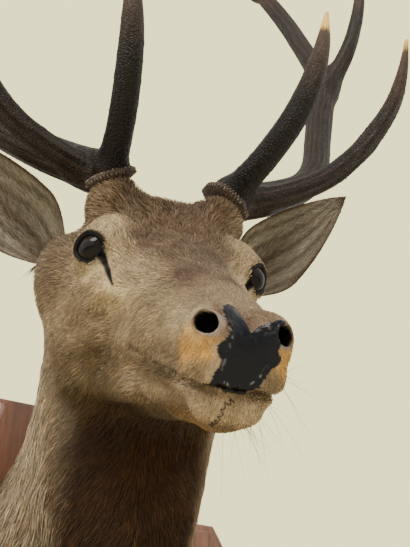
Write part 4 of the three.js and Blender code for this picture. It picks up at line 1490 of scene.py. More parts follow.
@dataclass
class Coat:
    """The hair: closed tufts that lie back over face and ears and hang down the neck."""

    spacing: Growth = Growth(2.95, -1.25, -0.3, 0.0, 7.6)  # skin to each tuft, square millimetres
    length: Growth = Growth(9.0, -4.8, 4.5, 6.0, 37.0, 9.0)
    width: Growth = Growth(0.84, -0.22, 0.12, 0.1, 1.75)
    ear_spacing: float = 3.5
    left_out: float = 0.35  # mask above which skin is bare
    off_wall: float = 1.5  # how far from the board roots start
    hang: float = 0.55  # how much the neck's hair falls

    @staticmethod
    def furred(skull: Array) -> dict[str, Array]:
        """Masks of the parts of the coat.

        Args:
            skull: Places in the skull's frame.

        Returns:
            Masks by name: neck, muzzle, crown, jaw and throat.
        """
        x, y, z = to_left(skull)
        neck = smooth(y - 0.6 * np.minimum(z + 60, 0), 66, 150)
        return {
            "neck": neck,
            "muzzle": smooth(-y, 120, 190),
            "crown": spot(x, y, z, Mass((0, 42, 66), (70, 66, 42)), 0.4) * (1 - neck),
            "jaw": smooth(-z, 84, 116) * smooth(y, -190, -90) * (1 - neck),
            "throat": smooth(-z - 0.30 * y, 118, 150) * smooth(-x, -74, -40),
        }

    @staticmethod
    def bald(skull: Array) -> Array:
        """Mask of bare places: lids, tear glands, nostrils, the chin's cut, mouth and painted pad."""
        x, y, z = to_left(skull)
        f = FEATURES
        away = np.stack([x, y, z], -1) - EYE
        lid = EYELID.ahead(away, 34) * (1 - smooth(EYELID.edge(away), 1.03, 1.10))
        tear = 1 - smooth(f.gland.distance(x, y, z), 0.3, 1.2)
        wide, ring = f.nostril(x, y, z)
        ring = np.maximum(ring, (1 - smooth(wide, 1.14, 1.26)) * (y < -222))
        lean = 8.5 * np.clip((-104.5 - z) / 11, 0, 1)  # the chin's stitched cut runs down and to its right
        cut = 1 - smooth(np.abs(skull[..., 0] + 1 + lean), 1.5, 2.6)
        cut = 0.9 * cut * (y < -228) * smooth(-z, 103, 105) * (1 - smooth(-z, 122, 124))
        slit = 1 - smooth(f.mouth.distance(x, y, z), -1.0, -0.2)
        return np.max([lid, tear, ring, cut, slit, pad_mask(skull)], axis=0)

    def sow(self, corners: Roots, rng: np.random.Generator) -> Roots:
        """Scatters roots over the skin, by the spacing of each place.

        Args:
            corners: Corners of the skin's triangles.
            rng: Source of chance.

        Returns:
            One root for each tuft.
        """
        a, b, c = (corners.point[:, k] for k in range(3))
        area = np.linalg.norm(np.cross(b - a, c - a), axis=1) / 2
        ear = corners.ear.mean(axis=1)
        spacing = self.spacing.at(self.furred(ANATOMY.to_skull(corners.point.mean(axis=1))))
        weight = area / (spacing * (1 - ear) + self.ear_spacing * ear)
        reach = np.cumsum(weight)
        count = int(reach[-1])
        pick = np.searchsorted(reach, (np.arange(count) + rng.random(count)) / count * reach[-1])
        u, v = rng.random((2, count))
        u, v = np.where(u + v > 1, 1 - u, u), np.where(u + v > 1, 1 - v, v)
        share = np.stack([1 - u - v, u, v], -1)
        mixed = [np.einsum("nk,nk...->n...", share, part[pick])
                 for part in (corners.point, corners.normal, corners.uv, corners.ear)]
        roots = Roots(mixed[0], unit(mixed[1]), mixed[2], mixed[3])
        keep = (self.bald(ANATOMY.to_skull(roots.point)) < self.left_out) | (roots.ear > 0.5)
        keep &= roots.point[:, 1] < -WALL - self.off_wall
        return roots.some(keep)

    def lie(self, roots: Roots) -> Array:
        """The way that the hair lies at each root: back over the head, down the neck."""
        skull = ANATOMY.to_skull(roots.point)
        mask = self.furred(skull)
        x, y, z = to_left(skull)
        side = np.sign(skull[:, 0])
        back = np.stack([0 * x, 0 * x + 1, 0 * x], -1)
        cheek = smooth(-z, -10, 60) * (1 - mask["neck"])
        back[:, 2] -= 0.55 * cheek + 0.25 * mask["jaw"]
        back[:, 0] += side * 0.25 * smooth(z, 0, 40)
        away = np.stack([x, y, z], -1) - EYE
        far = np.linalg.norm(away[:, 1:], axis=1)
        ring = (1 - smooth(far, 15, 32)) * smooth(x, 30, 50)
        back[:, 1:] += 0.9 * ring[:, None] * away[:, 1:] / np.maximum(far, 1e-6)[:, None]
        face = ANATOMY.from_skull(back) - ANATOMY.from_skull(np.zeros(3))
        gap = np.linalg.norm(roots.point[:, None, 1:] - ANATOMY.neck_axis[None, :, 1:], axis=2)
        step = np.gradient(ANATOMY.neck_axis, axis=0)[np.argmin(gap, axis=1)]
        down = -unit(step) + np.array([0.0, 0.0, -self.hang])
        down[:, 0] += side * 0.10
        return unit(face) * (1 - mask["neck"])[:, None] + unit(down) * mask["neck"][:, None]

    @staticmethod
    def swirl(way: Array, normal: Array, angle: Array) -> Array:
        """Lays directions flat on the skin and turns them in it."""
        flat = unit(way - normal * np.sum(way * normal, axis=1, keepdims=True))
        return flat * np.cos(angle)[:, None] + np.cross(normal, flat) * np.sin(angle)[:, None]

    def tufts(self, roots: Roots, rings: int, rng: np.random.Generator) -> tuple[Array, Array, Array]:
        """Middle lines, widths and colours of the tufts on head and neck.

        Args:
            roots: Where they grow.
            rings: Rings of each tuft, with its tip.
            rng: Source of chance.

        Returns:
            Lines (tufts x rings x 3) and widths in millimetres, and colours at the rings.
        """
        count = len(roots.point)
        skull = ANATOMY.to_skull(roots.point)
        mask = self.furred(skull)
        wild = 0.18 + 0.6 * mask["crown"] - 0.05 * mask["muzzle"]
        turn = 0.30 * value_noise(skull, 26.0, 31) + wild * value_noise(skull, 9.0, 32)
        turn = turn + rng.normal(0, 0.13, count) + 0.25 * mask["neck"] * value_noise(skull, 42.0, 33)
        way = self.swirl(self.lie(roots), roots.normal, turn)
        side = np.cross(roots.normal, way)
        x, y, z = to_left(skull)
        away = np.stack([x, y, z], -1) - EYE
        by_eye = (np.linalg.norm(away, axis=1) < 36) & (x > 60)
        shy = np.where(by_eye, np.clip((EYELID.edge(away) - 1.1) / 1.2, 0.25, 1), 1.0)
        wing = (FEATURES.nostril(x, y, z)[0] - 1.0) / 0.8
        tear = (FEATURES.gland.distance(x, y, z) - 0.4) / 12
        beside = np.where(y < -215, np.minimum(wing, -pad_depth(skull) / 8), 1)
        shy = np.minimum(shy, np.clip(np.minimum(beside, tear), 0.14, 1))
        length = self.length.at(mask) * shy * rng.uniform(0.68, 1.25, count)
        length = np.minimum(length, 8 + 1.3 * np.abs(roots.point[:, 1] + WALL))
        width = self.width.at(mask) * rng.uniform(0.7, 1.25, count)
        depth = coat_depth(skull)
        lift = rng.uniform(0.25, 0.75, count) + rng.uniform(0.2, 1.5, count) * mask["crown"]
        lift = lift + 0.25 * smooth(value_noise(skull, 18.0, 34), 0.1, 0.8)
        bend = rng.normal(0, 1, count) * (0.04 + 0.10 * mask["crown"]) * length
        wave = rng.uniform(0, math.tau, count)
        at = np.linspace(0, 1, rings)
        lines = []
        for t in at:
            sway = bend * t * t + 0.03 * length * np.sin(wave + 4.2 * t) * mask["neck"]
            ring = roots.point + way * (length * t)[:, None] + side * sway[:, None]
            want = -0.5 + (depth * lift + 0.5) * (1.75 * t ** 0.8 - 0.75 * t * t)
            for _ in range(2):
                ring = ring + roots.normal * (want - sculpted(ring))[:, None] * 0.95
            ring[:, 1] = np.minimum(ring[:, 1], -WALL - 0.9)
            lines.append(ring)
        lines = np.stack(lines, axis=1) - roots.point[:, None]
        reach = np.linalg.norm(lines[:, -1], axis=1)
        lines = lines * np.minimum(1, 1.25 * length / np.maximum(reach, 1e-6))[:, None, None]
        shares = (1 - at[:-1]) ** 0.55 * np.where(at[:-1] == 0, 0.75, 1.0)
        colour = self.colours(skull, markings(skull), at, rng)
        return lines + roots.point[:, None], width[:, None] * shares[None], colour

    @staticmethod
    def colours(skull: Array, base: Array, at: Array, rng: np.random.Generator) -> Array:
        """Colours along each tuft: dark at the root as painted shade, with some light and some dark tips.

        Args:
            skull: The tufts' roots in the skull's frame.
            base: The markings there.
            at: Share of each ring along its tuft.
            rng: Source of chance.

        Returns:
            Colours, as tufts x rings x 3.
        """
        count = len(base)
        mask = Coat.furred(skull)["neck"]
        tint = np.exp(rng.normal(0, 0.24, count) + 0.22 * value_noise(skull, 7.0, 41))
        kind = rng.random(count)
        tint = np.where(kind < 0.12, tint * 1.25, np.where(kind > 0.88, tint * 0.68, tint))
        warm = 1 + rng.normal(0, 0.05, (count, 1)) * np.array([0.6, 0.0, -1.2])
        # painted shade among the hairs: each tuft darker at its root, lighter at its tip
        low, high = 0.68 - 0.06 * mask, 1.14 + 0.02 * mask
        level = low[:, None] + (high - low)[:, None] * at[None] ** 0.7
        return (base * warm * tint[:, None])[:, None, :] * level[..., None]

    def ear_tufts(self, roots: Roots, ear: Ear, rng: np.random.Generator) -> tuple[Array, Array, Array]:
        """Middle lines, widths and colours of the tufts on one ear."""
        count = len(roots.point)
        local = ear.local(roots.point, roots.normal)
        across, up, inside = local.T
        mirror = np.array([ear.side, 1, 1])
        spread = 0.40 * (1 - np.abs(across)) - 0.55 * smooth(up, 0.4, 0.9)
        lean = across * (spread + 0.25 * (1 - smooth(up, 0.0, 0.4)))
        way = ear.up + np.outer(lean, ear.across)
        way = self.swirl(way * mirror, roots.normal, rng.normal(0, 0.12, count))
        inner = inside * smooth(1 - np.abs(across), 0.02, 0.3)
        rim = np.maximum(smooth(np.abs(across), 0.65, 0.95), smooth(up, 0.80, 0.97))
        length = (6.5 + 7.0 * inner * (1 - 0.6 * up)) * rng.uniform(0.7, 1.3, count) * (1 - 0.55 * rim)
        width = (0.80 + 0.1 * inner) * rng.uniform(0.75, 1.25, count)
        stand = 0.5 + 1.1 * inner * rng.uniform(0.0, 1.2, count) * (1 - rim)
        at = np.linspace(0, 1, 3)
        bend = rng.normal(0, 0.06, count) * length
        side = np.cross(roots.normal, way)
        lines = [roots.point + way * (length * t)[:, None] + side * (bend * t * t)[:, None]
                 + roots.normal * (stand * t ** 0.8 - 0.3)[:, None] for t in at]
        base = ear_markings(local)
        tint = np.exp(rng.normal(0, 0.20, count))
        # painted shade among the hairs: each tuft darker at its root, lighter at its tip
        level = 0.66 + 0.5 * at ** 0.7
        colour = (base * tint[:, None])[:, None, :] * level[None, :, None]
        shares = (1 - at[:-1]) ** 0.55
        return np.stack(lines, axis=1), width[:, None] * shares[None], colour

    @staticmethod
    def piece(name: str, lines: Array, widths: Array, roots: Roots, colour: Array,
              finish: bpy.types.Material) -> None:
        """Makes one piece of the coat from its tufts."""
        placed = ANATOMY.turned(lines) * MM
        tip = ANATOMY.turned(roots.point + roots.normal)
        normal = unit(tip - ANATOMY.turned(roots.point))
        made = spikes(name, placed, widths * MM, normal, 0.42, roots.uv, colour)
        dressed(made, finish)

    def build(self, corners: Roots, finish: bpy.types.Material) -> None:
        """Grows the whole coat.

        Args:
            corners: Corners of the skin's triangles.
            finish: Material of the hair.
        """
        rng = np.random.default_rng(SEED)
        roots = self.sow(corners, rng)
        skull = ANATOMY.to_skull(roots.point)
        on_ear = roots.ear > 0.5
        long = (self.furred(skull)["neck"] > 0.35) & ~on_ear
        for side, name in ((1, "left"), (-1, "right")):
            own = roots.some(on_ear & (roots.point[:, 0] * side > 0))
            lines, widths, colour = self.ear_tufts(own, Ear(side), rng)
            self.piece(f"coat_ear_{name}", lines, widths, own, colour, finish)
        for name, chosen, rings, most in (("face", ~on_ear & ~long, 3, 19000), ("neck", long, 4, 12000)):
            own = roots.some(chosen)
            order = np.argsort(ANATOMY.to_skull(own.point)[:, 1])
            parts = np.array_split(order, math.ceil(len(order) / most))
            for number, part in enumerate(parts, 1):
                some = own.some(part)
                lines, widths, colour = self.tufts(some, rings, rng)
                self.piece(f"coat_{name}_{number}", lines, widths, some, colour, finish)


@dataclass
class Whiskers:
    """Long single hairs of the chin and lips."""

    count: int = 64
    thick: float = 0.26
    lengths: tuple[float, float] = (14.0, 46.0)
    fall: float = 0.32  # how far the tips sink, as a share of the length

    def build(self, corners: Roots, finish: bpy.types.Material) -> None:
        """Plants the whiskers on chin and lips."""
        rng = np.random.default_rng(SEED + 5)
        middle = corners.point.mean(axis=1)
        skull = ANATOMY.to_skull(middle)
        x, y, z = to_left(skull)
        chin = smooth(-z, 100, 112) * smooth(-y, 165, 185)
        lip = smooth(-z, 70, 84) * smooth(-y, 190, 215) * smooth(x, 16, 26) * (1 - smooth(-y, 244, 250))
        a, b, c = (corners.point[:, k] for k in range(3))
        area = np.linalg.norm(np.cross(b - a, c - a), axis=1)
        reach = np.cumsum(area * (chin + 0.55 * lip) * (Coat.bald(skull) < 0.2))
        pick = np.searchsorted(reach, rng.random(self.count) * reach[-1])
        root, normal = middle[pick], unit(corners.normal.mean(axis=1)[pick])
        forward = unit(ANATOMY.from_skull(np.array([0.0, -1.0, -0.35])) - ANATOMY.from_skull(np.zeros(3)))
        way = unit(0.75 * normal + 0.55 * forward + rng.normal(0, 0.28, (self.count, 3)))
        length = rng.uniform(*self.lengths, self.count)
        at = np.linspace(0, 1, 7)
        down = np.array([0.0, 0.0, -1.0])
        lines = np.stack([root + way * (length * t)[:, None] + down * (length * self.fall * t * t)[:, None]
                          for t in at], axis=1)
        widths = np.full((self.count, len(at) - 1), self.thick) * (1 - 0.75 * at[:-1])
        made = spikes("whiskers", ANATOMY.turned(lines) * MM, widths * MM, way, 0.8)
        dressed(made, finish)


# ---- Eyes ----------------------------------------------------------------------------------


@dataclass(frozen=True)
class Eyelid:
    """The almond between the lids, as it lies on the eyeball."""

    look: tuple[float, float, float] = (0.66, -0.75, 0.05)
    long: float = 12.9
    high: float = 12.2
    low: float = 11.6
    slant: float = math.radians(18)
    corner: float = 1.65  # below 2 the corners are pointed

    def axes(self) -> tuple[Array, Array, Array]:
        """The eye's forward, up and outward axes in the skull's frame."""
        out = unit(np.array(self.look))
        up = unit(np.array([0.0, 0.0, 1.0]) - out * out[2])
        front = np.cross(up, out)
        c, s = math.cos(self.slant), math.sin(self.slant)
        return front * c - up * s, up * c + front * s, out

    def ahead(self, away: Array, reach: float) -> Array:
        """Whether offsets from the eye's centre are short and point out of the head."""
        return (np.linalg.norm(away, axis=-1) < reach) & (away @ self.axes()[2] > 0)

    def edge(self, away: Array) -> Array:
        """How far out from the opening's middle a direction lies: 1 is the lids' edge."""
        front, up, out = self.axes()
        way = unit(away) * ANATOMY.eye_radius
        u, v = np.abs(way @ front) / self.long, way @ up
        v = np.abs(np.where(v > 0, v / self.high, v / self.low))
        flat = (u ** self.corner + v ** self.corner) ** (1 / self.corner)
        return np.where(way @ out > 0, flat, 3.0)

    def rim(self, turn: Array, reach: float, grow: float = 1.0) -> Array:
        """Points round the lids' edge, from the eye's centre.

        Args:
            turn: Angles round the opening, 0 at its front corner.
            reach: Distance of the points from the eye's centre.
            grow: Size against the opening's.

        Returns:
            Offsets from the eye's centre in the skull's frame.
        """
        front, up, out = self.axes()
        u, v = np.cos(turn), np.sin(turn)
        high = np.where(v > 0, self.high, self.low)
        flat = (np.abs(u) / self.long) ** self.corner + (np.abs(v) / high) ** self.corner
        size = flat ** (-1 / self.corner)
        u, v = u * size * grow / ANATOMY.eye_radius, v * size * grow / ANATOMY.eye_radius
        w = np.sqrt(np.clip(1 - u * u - v * v, 0.01, 1))
        return (np.outer(u, front) + np.outer(v, up) + np.outer(w, out)) * reach


EYELID = Eyelid()


@dataclass
class Eye:
    """One glass eye with the black rim of its lids and its lashes."""

    side: int
    name: str
    around: int = 72
    rows: int = 48
    rim_radius: float = 0.65
    rim_reach: float = 17.6
    rim_squares: tuple[int, int] = (72, 12)  # along and around
    lashes: int = 56
    lash_width: float = 0.30
    lash_lengths: tuple[float, float] = (2.5, 7.5)
    lash_turns: tuple[float, float] = (22.0, 172.0)  # degrees round the opening, along the upper lid

    def in_place(self, offsets: Array) -> Array:
        """Offsets from the eye's centre to the mount's frame, in metres."""
        points = (EYE + offsets) * np.array([self.side, 1, 1])
        return ANATOMY.turned(ANATOMY.from_skull(points)) * MM

    def ball(self, finish: bpy.types.Material) -> None:
        """The glass ball, bulging a little over the iris."""
        bm, _, _ = net(self.around, self.rows)
        way = np.array([v.co for v in bm.verts], float)
        front, up, out = EYELID.axes()
        bulge = 0.6 * smooth(way[:, 2], 0.80, 1.0)
        offsets = (np.outer(way[:, 0], front) + np.outer(way[:, 1], up) + np.outer(way[:, 2], out))
        offsets = offsets * (ANATOMY.eye_radius - 0.25 + bulge)[:, None]
        made = finished(bm, f"glass_eye_{self.name}", self.in_place(offsets))
        paint(made.data, "Gaze", way)
        dressed(made, finish, (f"eye_{self.name}",))

    def rim(self, finish: bpy.types.Material) -> None:
        """The black edge of the lids: a ring that hugs the ball, thickest below in front."""
        bm = bmesh.new()
        steps, sides = self.rim_squares
        bmesh.ops.create_grid(bm, x_segments=steps, y_segments=sides, size=0.5)
        at = np.array([v.co for v in bm.verts], float) + 0.5
        turn, round_ = at[:, 0] * math.tau, at[:, 1] * math.tau
        thick = self.rim_radius * (1.15 + 0.25 * np.cos(turn + 0.8))
        grow = 1.03 + thick * np.cos(round_) / 11.0
        lift = self.rim_reach + thick * np.sin(round_)
        offsets = np.stack([EYELID.rim(np.array([a]), r, g)[0] for a, r, g in zip(turn, lift, grow)])
        move(bm, self.in_place(offsets))
        bmesh.ops.remove_doubles(bm, verts=bm.verts, dist=1e-6)
        bmesh.ops.recalc_face_normals(bm, faces=bm.faces)
        dressed(finished(bm, f"lid_rim_{self.name}"), finish)

    def lash(self, finish: bpy.types.Material) -> None:
        """Short dark lashes along the upper lid."""
        rng = np.random.default_rng(SEED + 9 + self.side)
        turn = rng.uniform(*np.radians(self.lash_turns), self.lashes)
        base = EYELID.rim(turn, 18.8, 1.12)
        out = unit(EYELID.rim(turn, 1.0, 1.5))
        length = rng.uniform(*self.lash_lengths, self.lashes) * (0.5 + 0.5 * np.sin(turn))
        at = np.linspace(0, 1, 5)
        curl = np.array([0.1, -0.2, 0.55])
        stray = rng.normal(0, 0.2, (self.lashes, 3))
        way = unit(out * 0.8 + EYELID.axes()[2] * 0.5 + stray - [0.0, -0.25, 0.0])
        lines = np.stack([base + way * (length * t)[:, None] + curl * (length * 0.35 * t * t)[:, None]
                          for t in at], axis=1)
        widths = np.full((self.lashes, len(at) - 1), self.lash_width) * (1 - 0.6 * at[:-1])
        placed = self.in_place(lines.reshape(-1, 3)).reshape(lines.shape)
        made = spikes(f"lashes_{self.name}", placed, widths * MM, way * [self.side, 1, 1], 0.7)
        dressed(made, finish)

    def build(self, glass: bpy.types.Material, lid: bpy.types.Material) -> None:
        """Builds the eye's pieces."""
        self.ball(glass)
        self.rim(lid)
        self.lash(lid)


@dataclass
class Stitching:
    """Thread that closes the cut in the lower lip and chin."""

    start: tuple[float, float, float] = (-1.0, -247.0, -105.5)
    bend: tuple[float, float, float] = (-9.0, -241.0, -114.0)
    end: tuple[float, float, float] = (-9.5, -232.0, -122.0)
    inside: tuple[float, float, float] = (0.0, -222.0, -96.0)  # the threads lie away from this
    stitches: int = 14
    half: float = 1.9
    thick: float = 0.75

    def build(self, finish: bpy.types.Material) -> None:
        """Sews short crossing threads along the cut."""
        rng = np.random.default_rng(SEED + 3)
        path = np.array([self.start, self.bend, self.end])
        middle = Skin.settled(ANATOMY.from_skull(catmull_rom(path, 24)))
        middle = along_length(middle, np.linspace(0, 1, self.stitches))
        normal = unit(middle - ANATOMY.from_skull(np.array(self.inside)))
        way = unit(np.gradient(middle, axis=0))
        lean = np.where(np.arange(self.stitches) % 2, 0.6, -0.6)[:, None]
        stray = rng.normal(0, 0.12, (self.stitches, 3))
        cross = (unit(np.cross(normal, way)) + way * lean + stray) * self.half
        at = np.linspace(-1, 1, 6)
        lines = []
        for t in at:
            ring = Skin.settled(middle + cross * t)
            lines.append(ring + normal * (0.5 + 0.8 * (1 - t * t)))
        lines = np.stack(lines, axis=1)
        widths = np.full((self.stitches, len(at) - 1), self.thick)
        back = np.tile([0.0, -1.0, 0.2], (self.stitches, 1))
        made = spikes("stitches", ANATOMY.turned(lines) * MM, widths * MM, back, 0.9)
        dressed(made, finish)


# ---- Antlers -------------------------------------------------------------------------------


@dataclass(frozen=True)
class Tine:
    """A length of antler from the burr's middle: outward, back and up, with its radii."""

    name: str
    line: tuple[tuple[float, float, float], ...]
    girths: tuple[float, ...]
    droop: float = 0.14
    spread: float = 1.0
    pointed: bool = True
    gutters: float = 0.6
    worn: float = 0.0  # how much longer its ivory is, as a share
    stain: float = -0.08  # how much darker it is
    pearls: float = 0.1


TINES = (
    Tine("beam_lower", ((0, 0, 0), (20, 12, 17), (54, 34, 46), (98, 54, 83), (140, 73, 127), (164, 84, 172),
                        (175, 90, 224), (184, 93, 275), (194, 92, 340)), (21, 20, 18.5, 17.5, 17, 17.5, 19),
         pointed=False, pearls=0.3),
    Tine("brow_tine", ((3, 4, 8), (9, -34, 10), (18, -70, 22), (27, -100, 42), (35, -122, 72),
                       (42, -134, 110), (49, -138, 160)), (16.5, 14, 13.3, 12, 8.3, 2.6), 0.0, 0.8,
         gutters=0.2, worn=0.05, stain=0.62, pearls=0.6),
    Tine("bez_tine", ((22, 10, 16), (48, 0, 21), (82, -8, 38), (114, -18, 60), (142, -31, 90),
                      (164, -46, 124), (180, -61, 160), (189, -73, 200), (193, -84, 243)),
         (14, 12.5, 12, 10.8, 7.8, 2.6), 0.24, gutters=1.0, worn=-0.12, stain=0.0, pearls=0.6),
    Tine("trez_tine", ((190, 92, 312), (203, 74, 342), (211, 55, 370), (217, 38, 408), (220, 26, 450),
                       (220, 20, 496)), (13, 11.5, 9.5, 7.5, 2.6)),
    Tine("beam_upper", ((193, 94, 322), (194, 108, 376), (185, 127, 440), (172, 147, 506), (158, 168, 566),
                        (144, 192, 622), (130, 212, 682)), (17, 14.5, 13.5, 13, 12, 8.5, 2.6)),
    Tine("crown_tine", ((150, 182, 594), (146, 168, 626), (144, 150, 660), (145, 136, 698),
                        (148, 130, 736)), (11, 10, 8.5, 6, 2.4)),
)


class Rod:
    """A tine's middle line with frames and radii, placed on one side of the head."""

    steps = 110  # stretches of the middle line
    squares = (20, 70)  # of the plain tube, around and along

    def __init__(self, tine: Tine, root: Array, side: int) -> None:
        """Places the tine on the burr of one side."""
        self.tine = tine
        reach = 1 if side > 0 else -tine.spread
        sag = 0 if side > 0 else tine.droop
        corners = np.array([(root[0] + reach * x, root[1] + y, root[2] + z - sag * x)
                            for x, y, z in tine.line])
        self.shares = np.linspace(0, 1, self.steps + 1)
        dense = catmull_rom(corners, 60 * (len(corners) - 1))
        self.points = along_length(dense, self.shares)
        self.length = np.linalg.norm(np.diff(self.points, axis=0), axis=1).sum()
        knots = np.linspace(0, 1, len(tine.girths))
        self.girth = Curve([(t, g) for t, g in zip(knots, tine.girths)])
        self.tangent = unit(np.gradient(self.points, axis=0))
        across = np.cross(self.tangent[0], [0.0, 1.0, 0.2])
        frames = []
        for way in self.tangent:
            across = unit(across - way * (across @ way))
            frames.append(across)
        self.across = np.array(frames)
        self.up = np.cross(self.tangent, self.across)

    def radius(self, t: Array) -> Array:
        """Radius at a share of the length, rounded at both ends."""
        ends = np.sqrt(np.clip(1 - t ** 40, 0, 1)) * np.sqrt(np.clip(1 - (1 - t) ** 40, 0, 1))
        return self.girth(t)[..., 0] * ends

    def tube(self, bm: bmesh.types.BMesh, inside: float) -> None:
        """Adds the rod's plain tube to a mesh, thinner by a little."""
        made, angle, share = net(*self.squares)
        t = 1 - share
        at = np.round(t * self.steps).astype(int)
        radius = np.maximum(self.radius(t) - inside, 0.0)
        points = (self.points[at] + self.across[at] * (radius * np.cos(angle))[:, None]
                  + self.up[at] * (radius * np.sin(angle))[:, None])
        move(made, points)
        piece = bpy.data.meshes.new("tube")
        bmesh.ops.recalc_face_normals(made, faces=made.faces)
        made.to_mesh(piece)
        made.free()
        bm.from_mesh(piece)
        bpy.data.meshes.remove(piece)

    def measure(self, points: Array) -> tuple[Array, Array, Array]:
        """Distance to the rod, share along it and angle round it.

        Args:
            points: Places in millimetres.

        Returns:
            Distance to the surface, share of the length and angle, for each place.
        """
        squared = ((points ** 2).sum(1)[:, None] - 2 * points @ self.points.T
                   + (self.points ** 2).sum(1)[None])
        near = np.clip(np.argmin(squared, axis=1), 1, self.steps - 1)
        best = np.full(len(points), 1e9)
        share = np.zeros(len(points))
        for first in (near - 1, near):
            a, b = self.points[first], self.points[first + 1]
            ab = b - a
            t = np.clip(((points - a) * ab).sum(1) / (ab * ab).sum(1), 0, 1)
            gap = np.linalg.norm(points - a - ab * t[:, None], axis=1)
            nearer = gap < best
            best = np.where(nearer, gap, best)
            share = np.where(nearer, (first + t) / self.steps, share)
        at = np.round(share * self.steps).astype(int)
        away = points - self.points[at]
        angle = np.arctan2((away * self.up[at]).sum(1), (away * self.across[at]).sum(1))
        return best - self.girth(share)[:, 0], share, angle


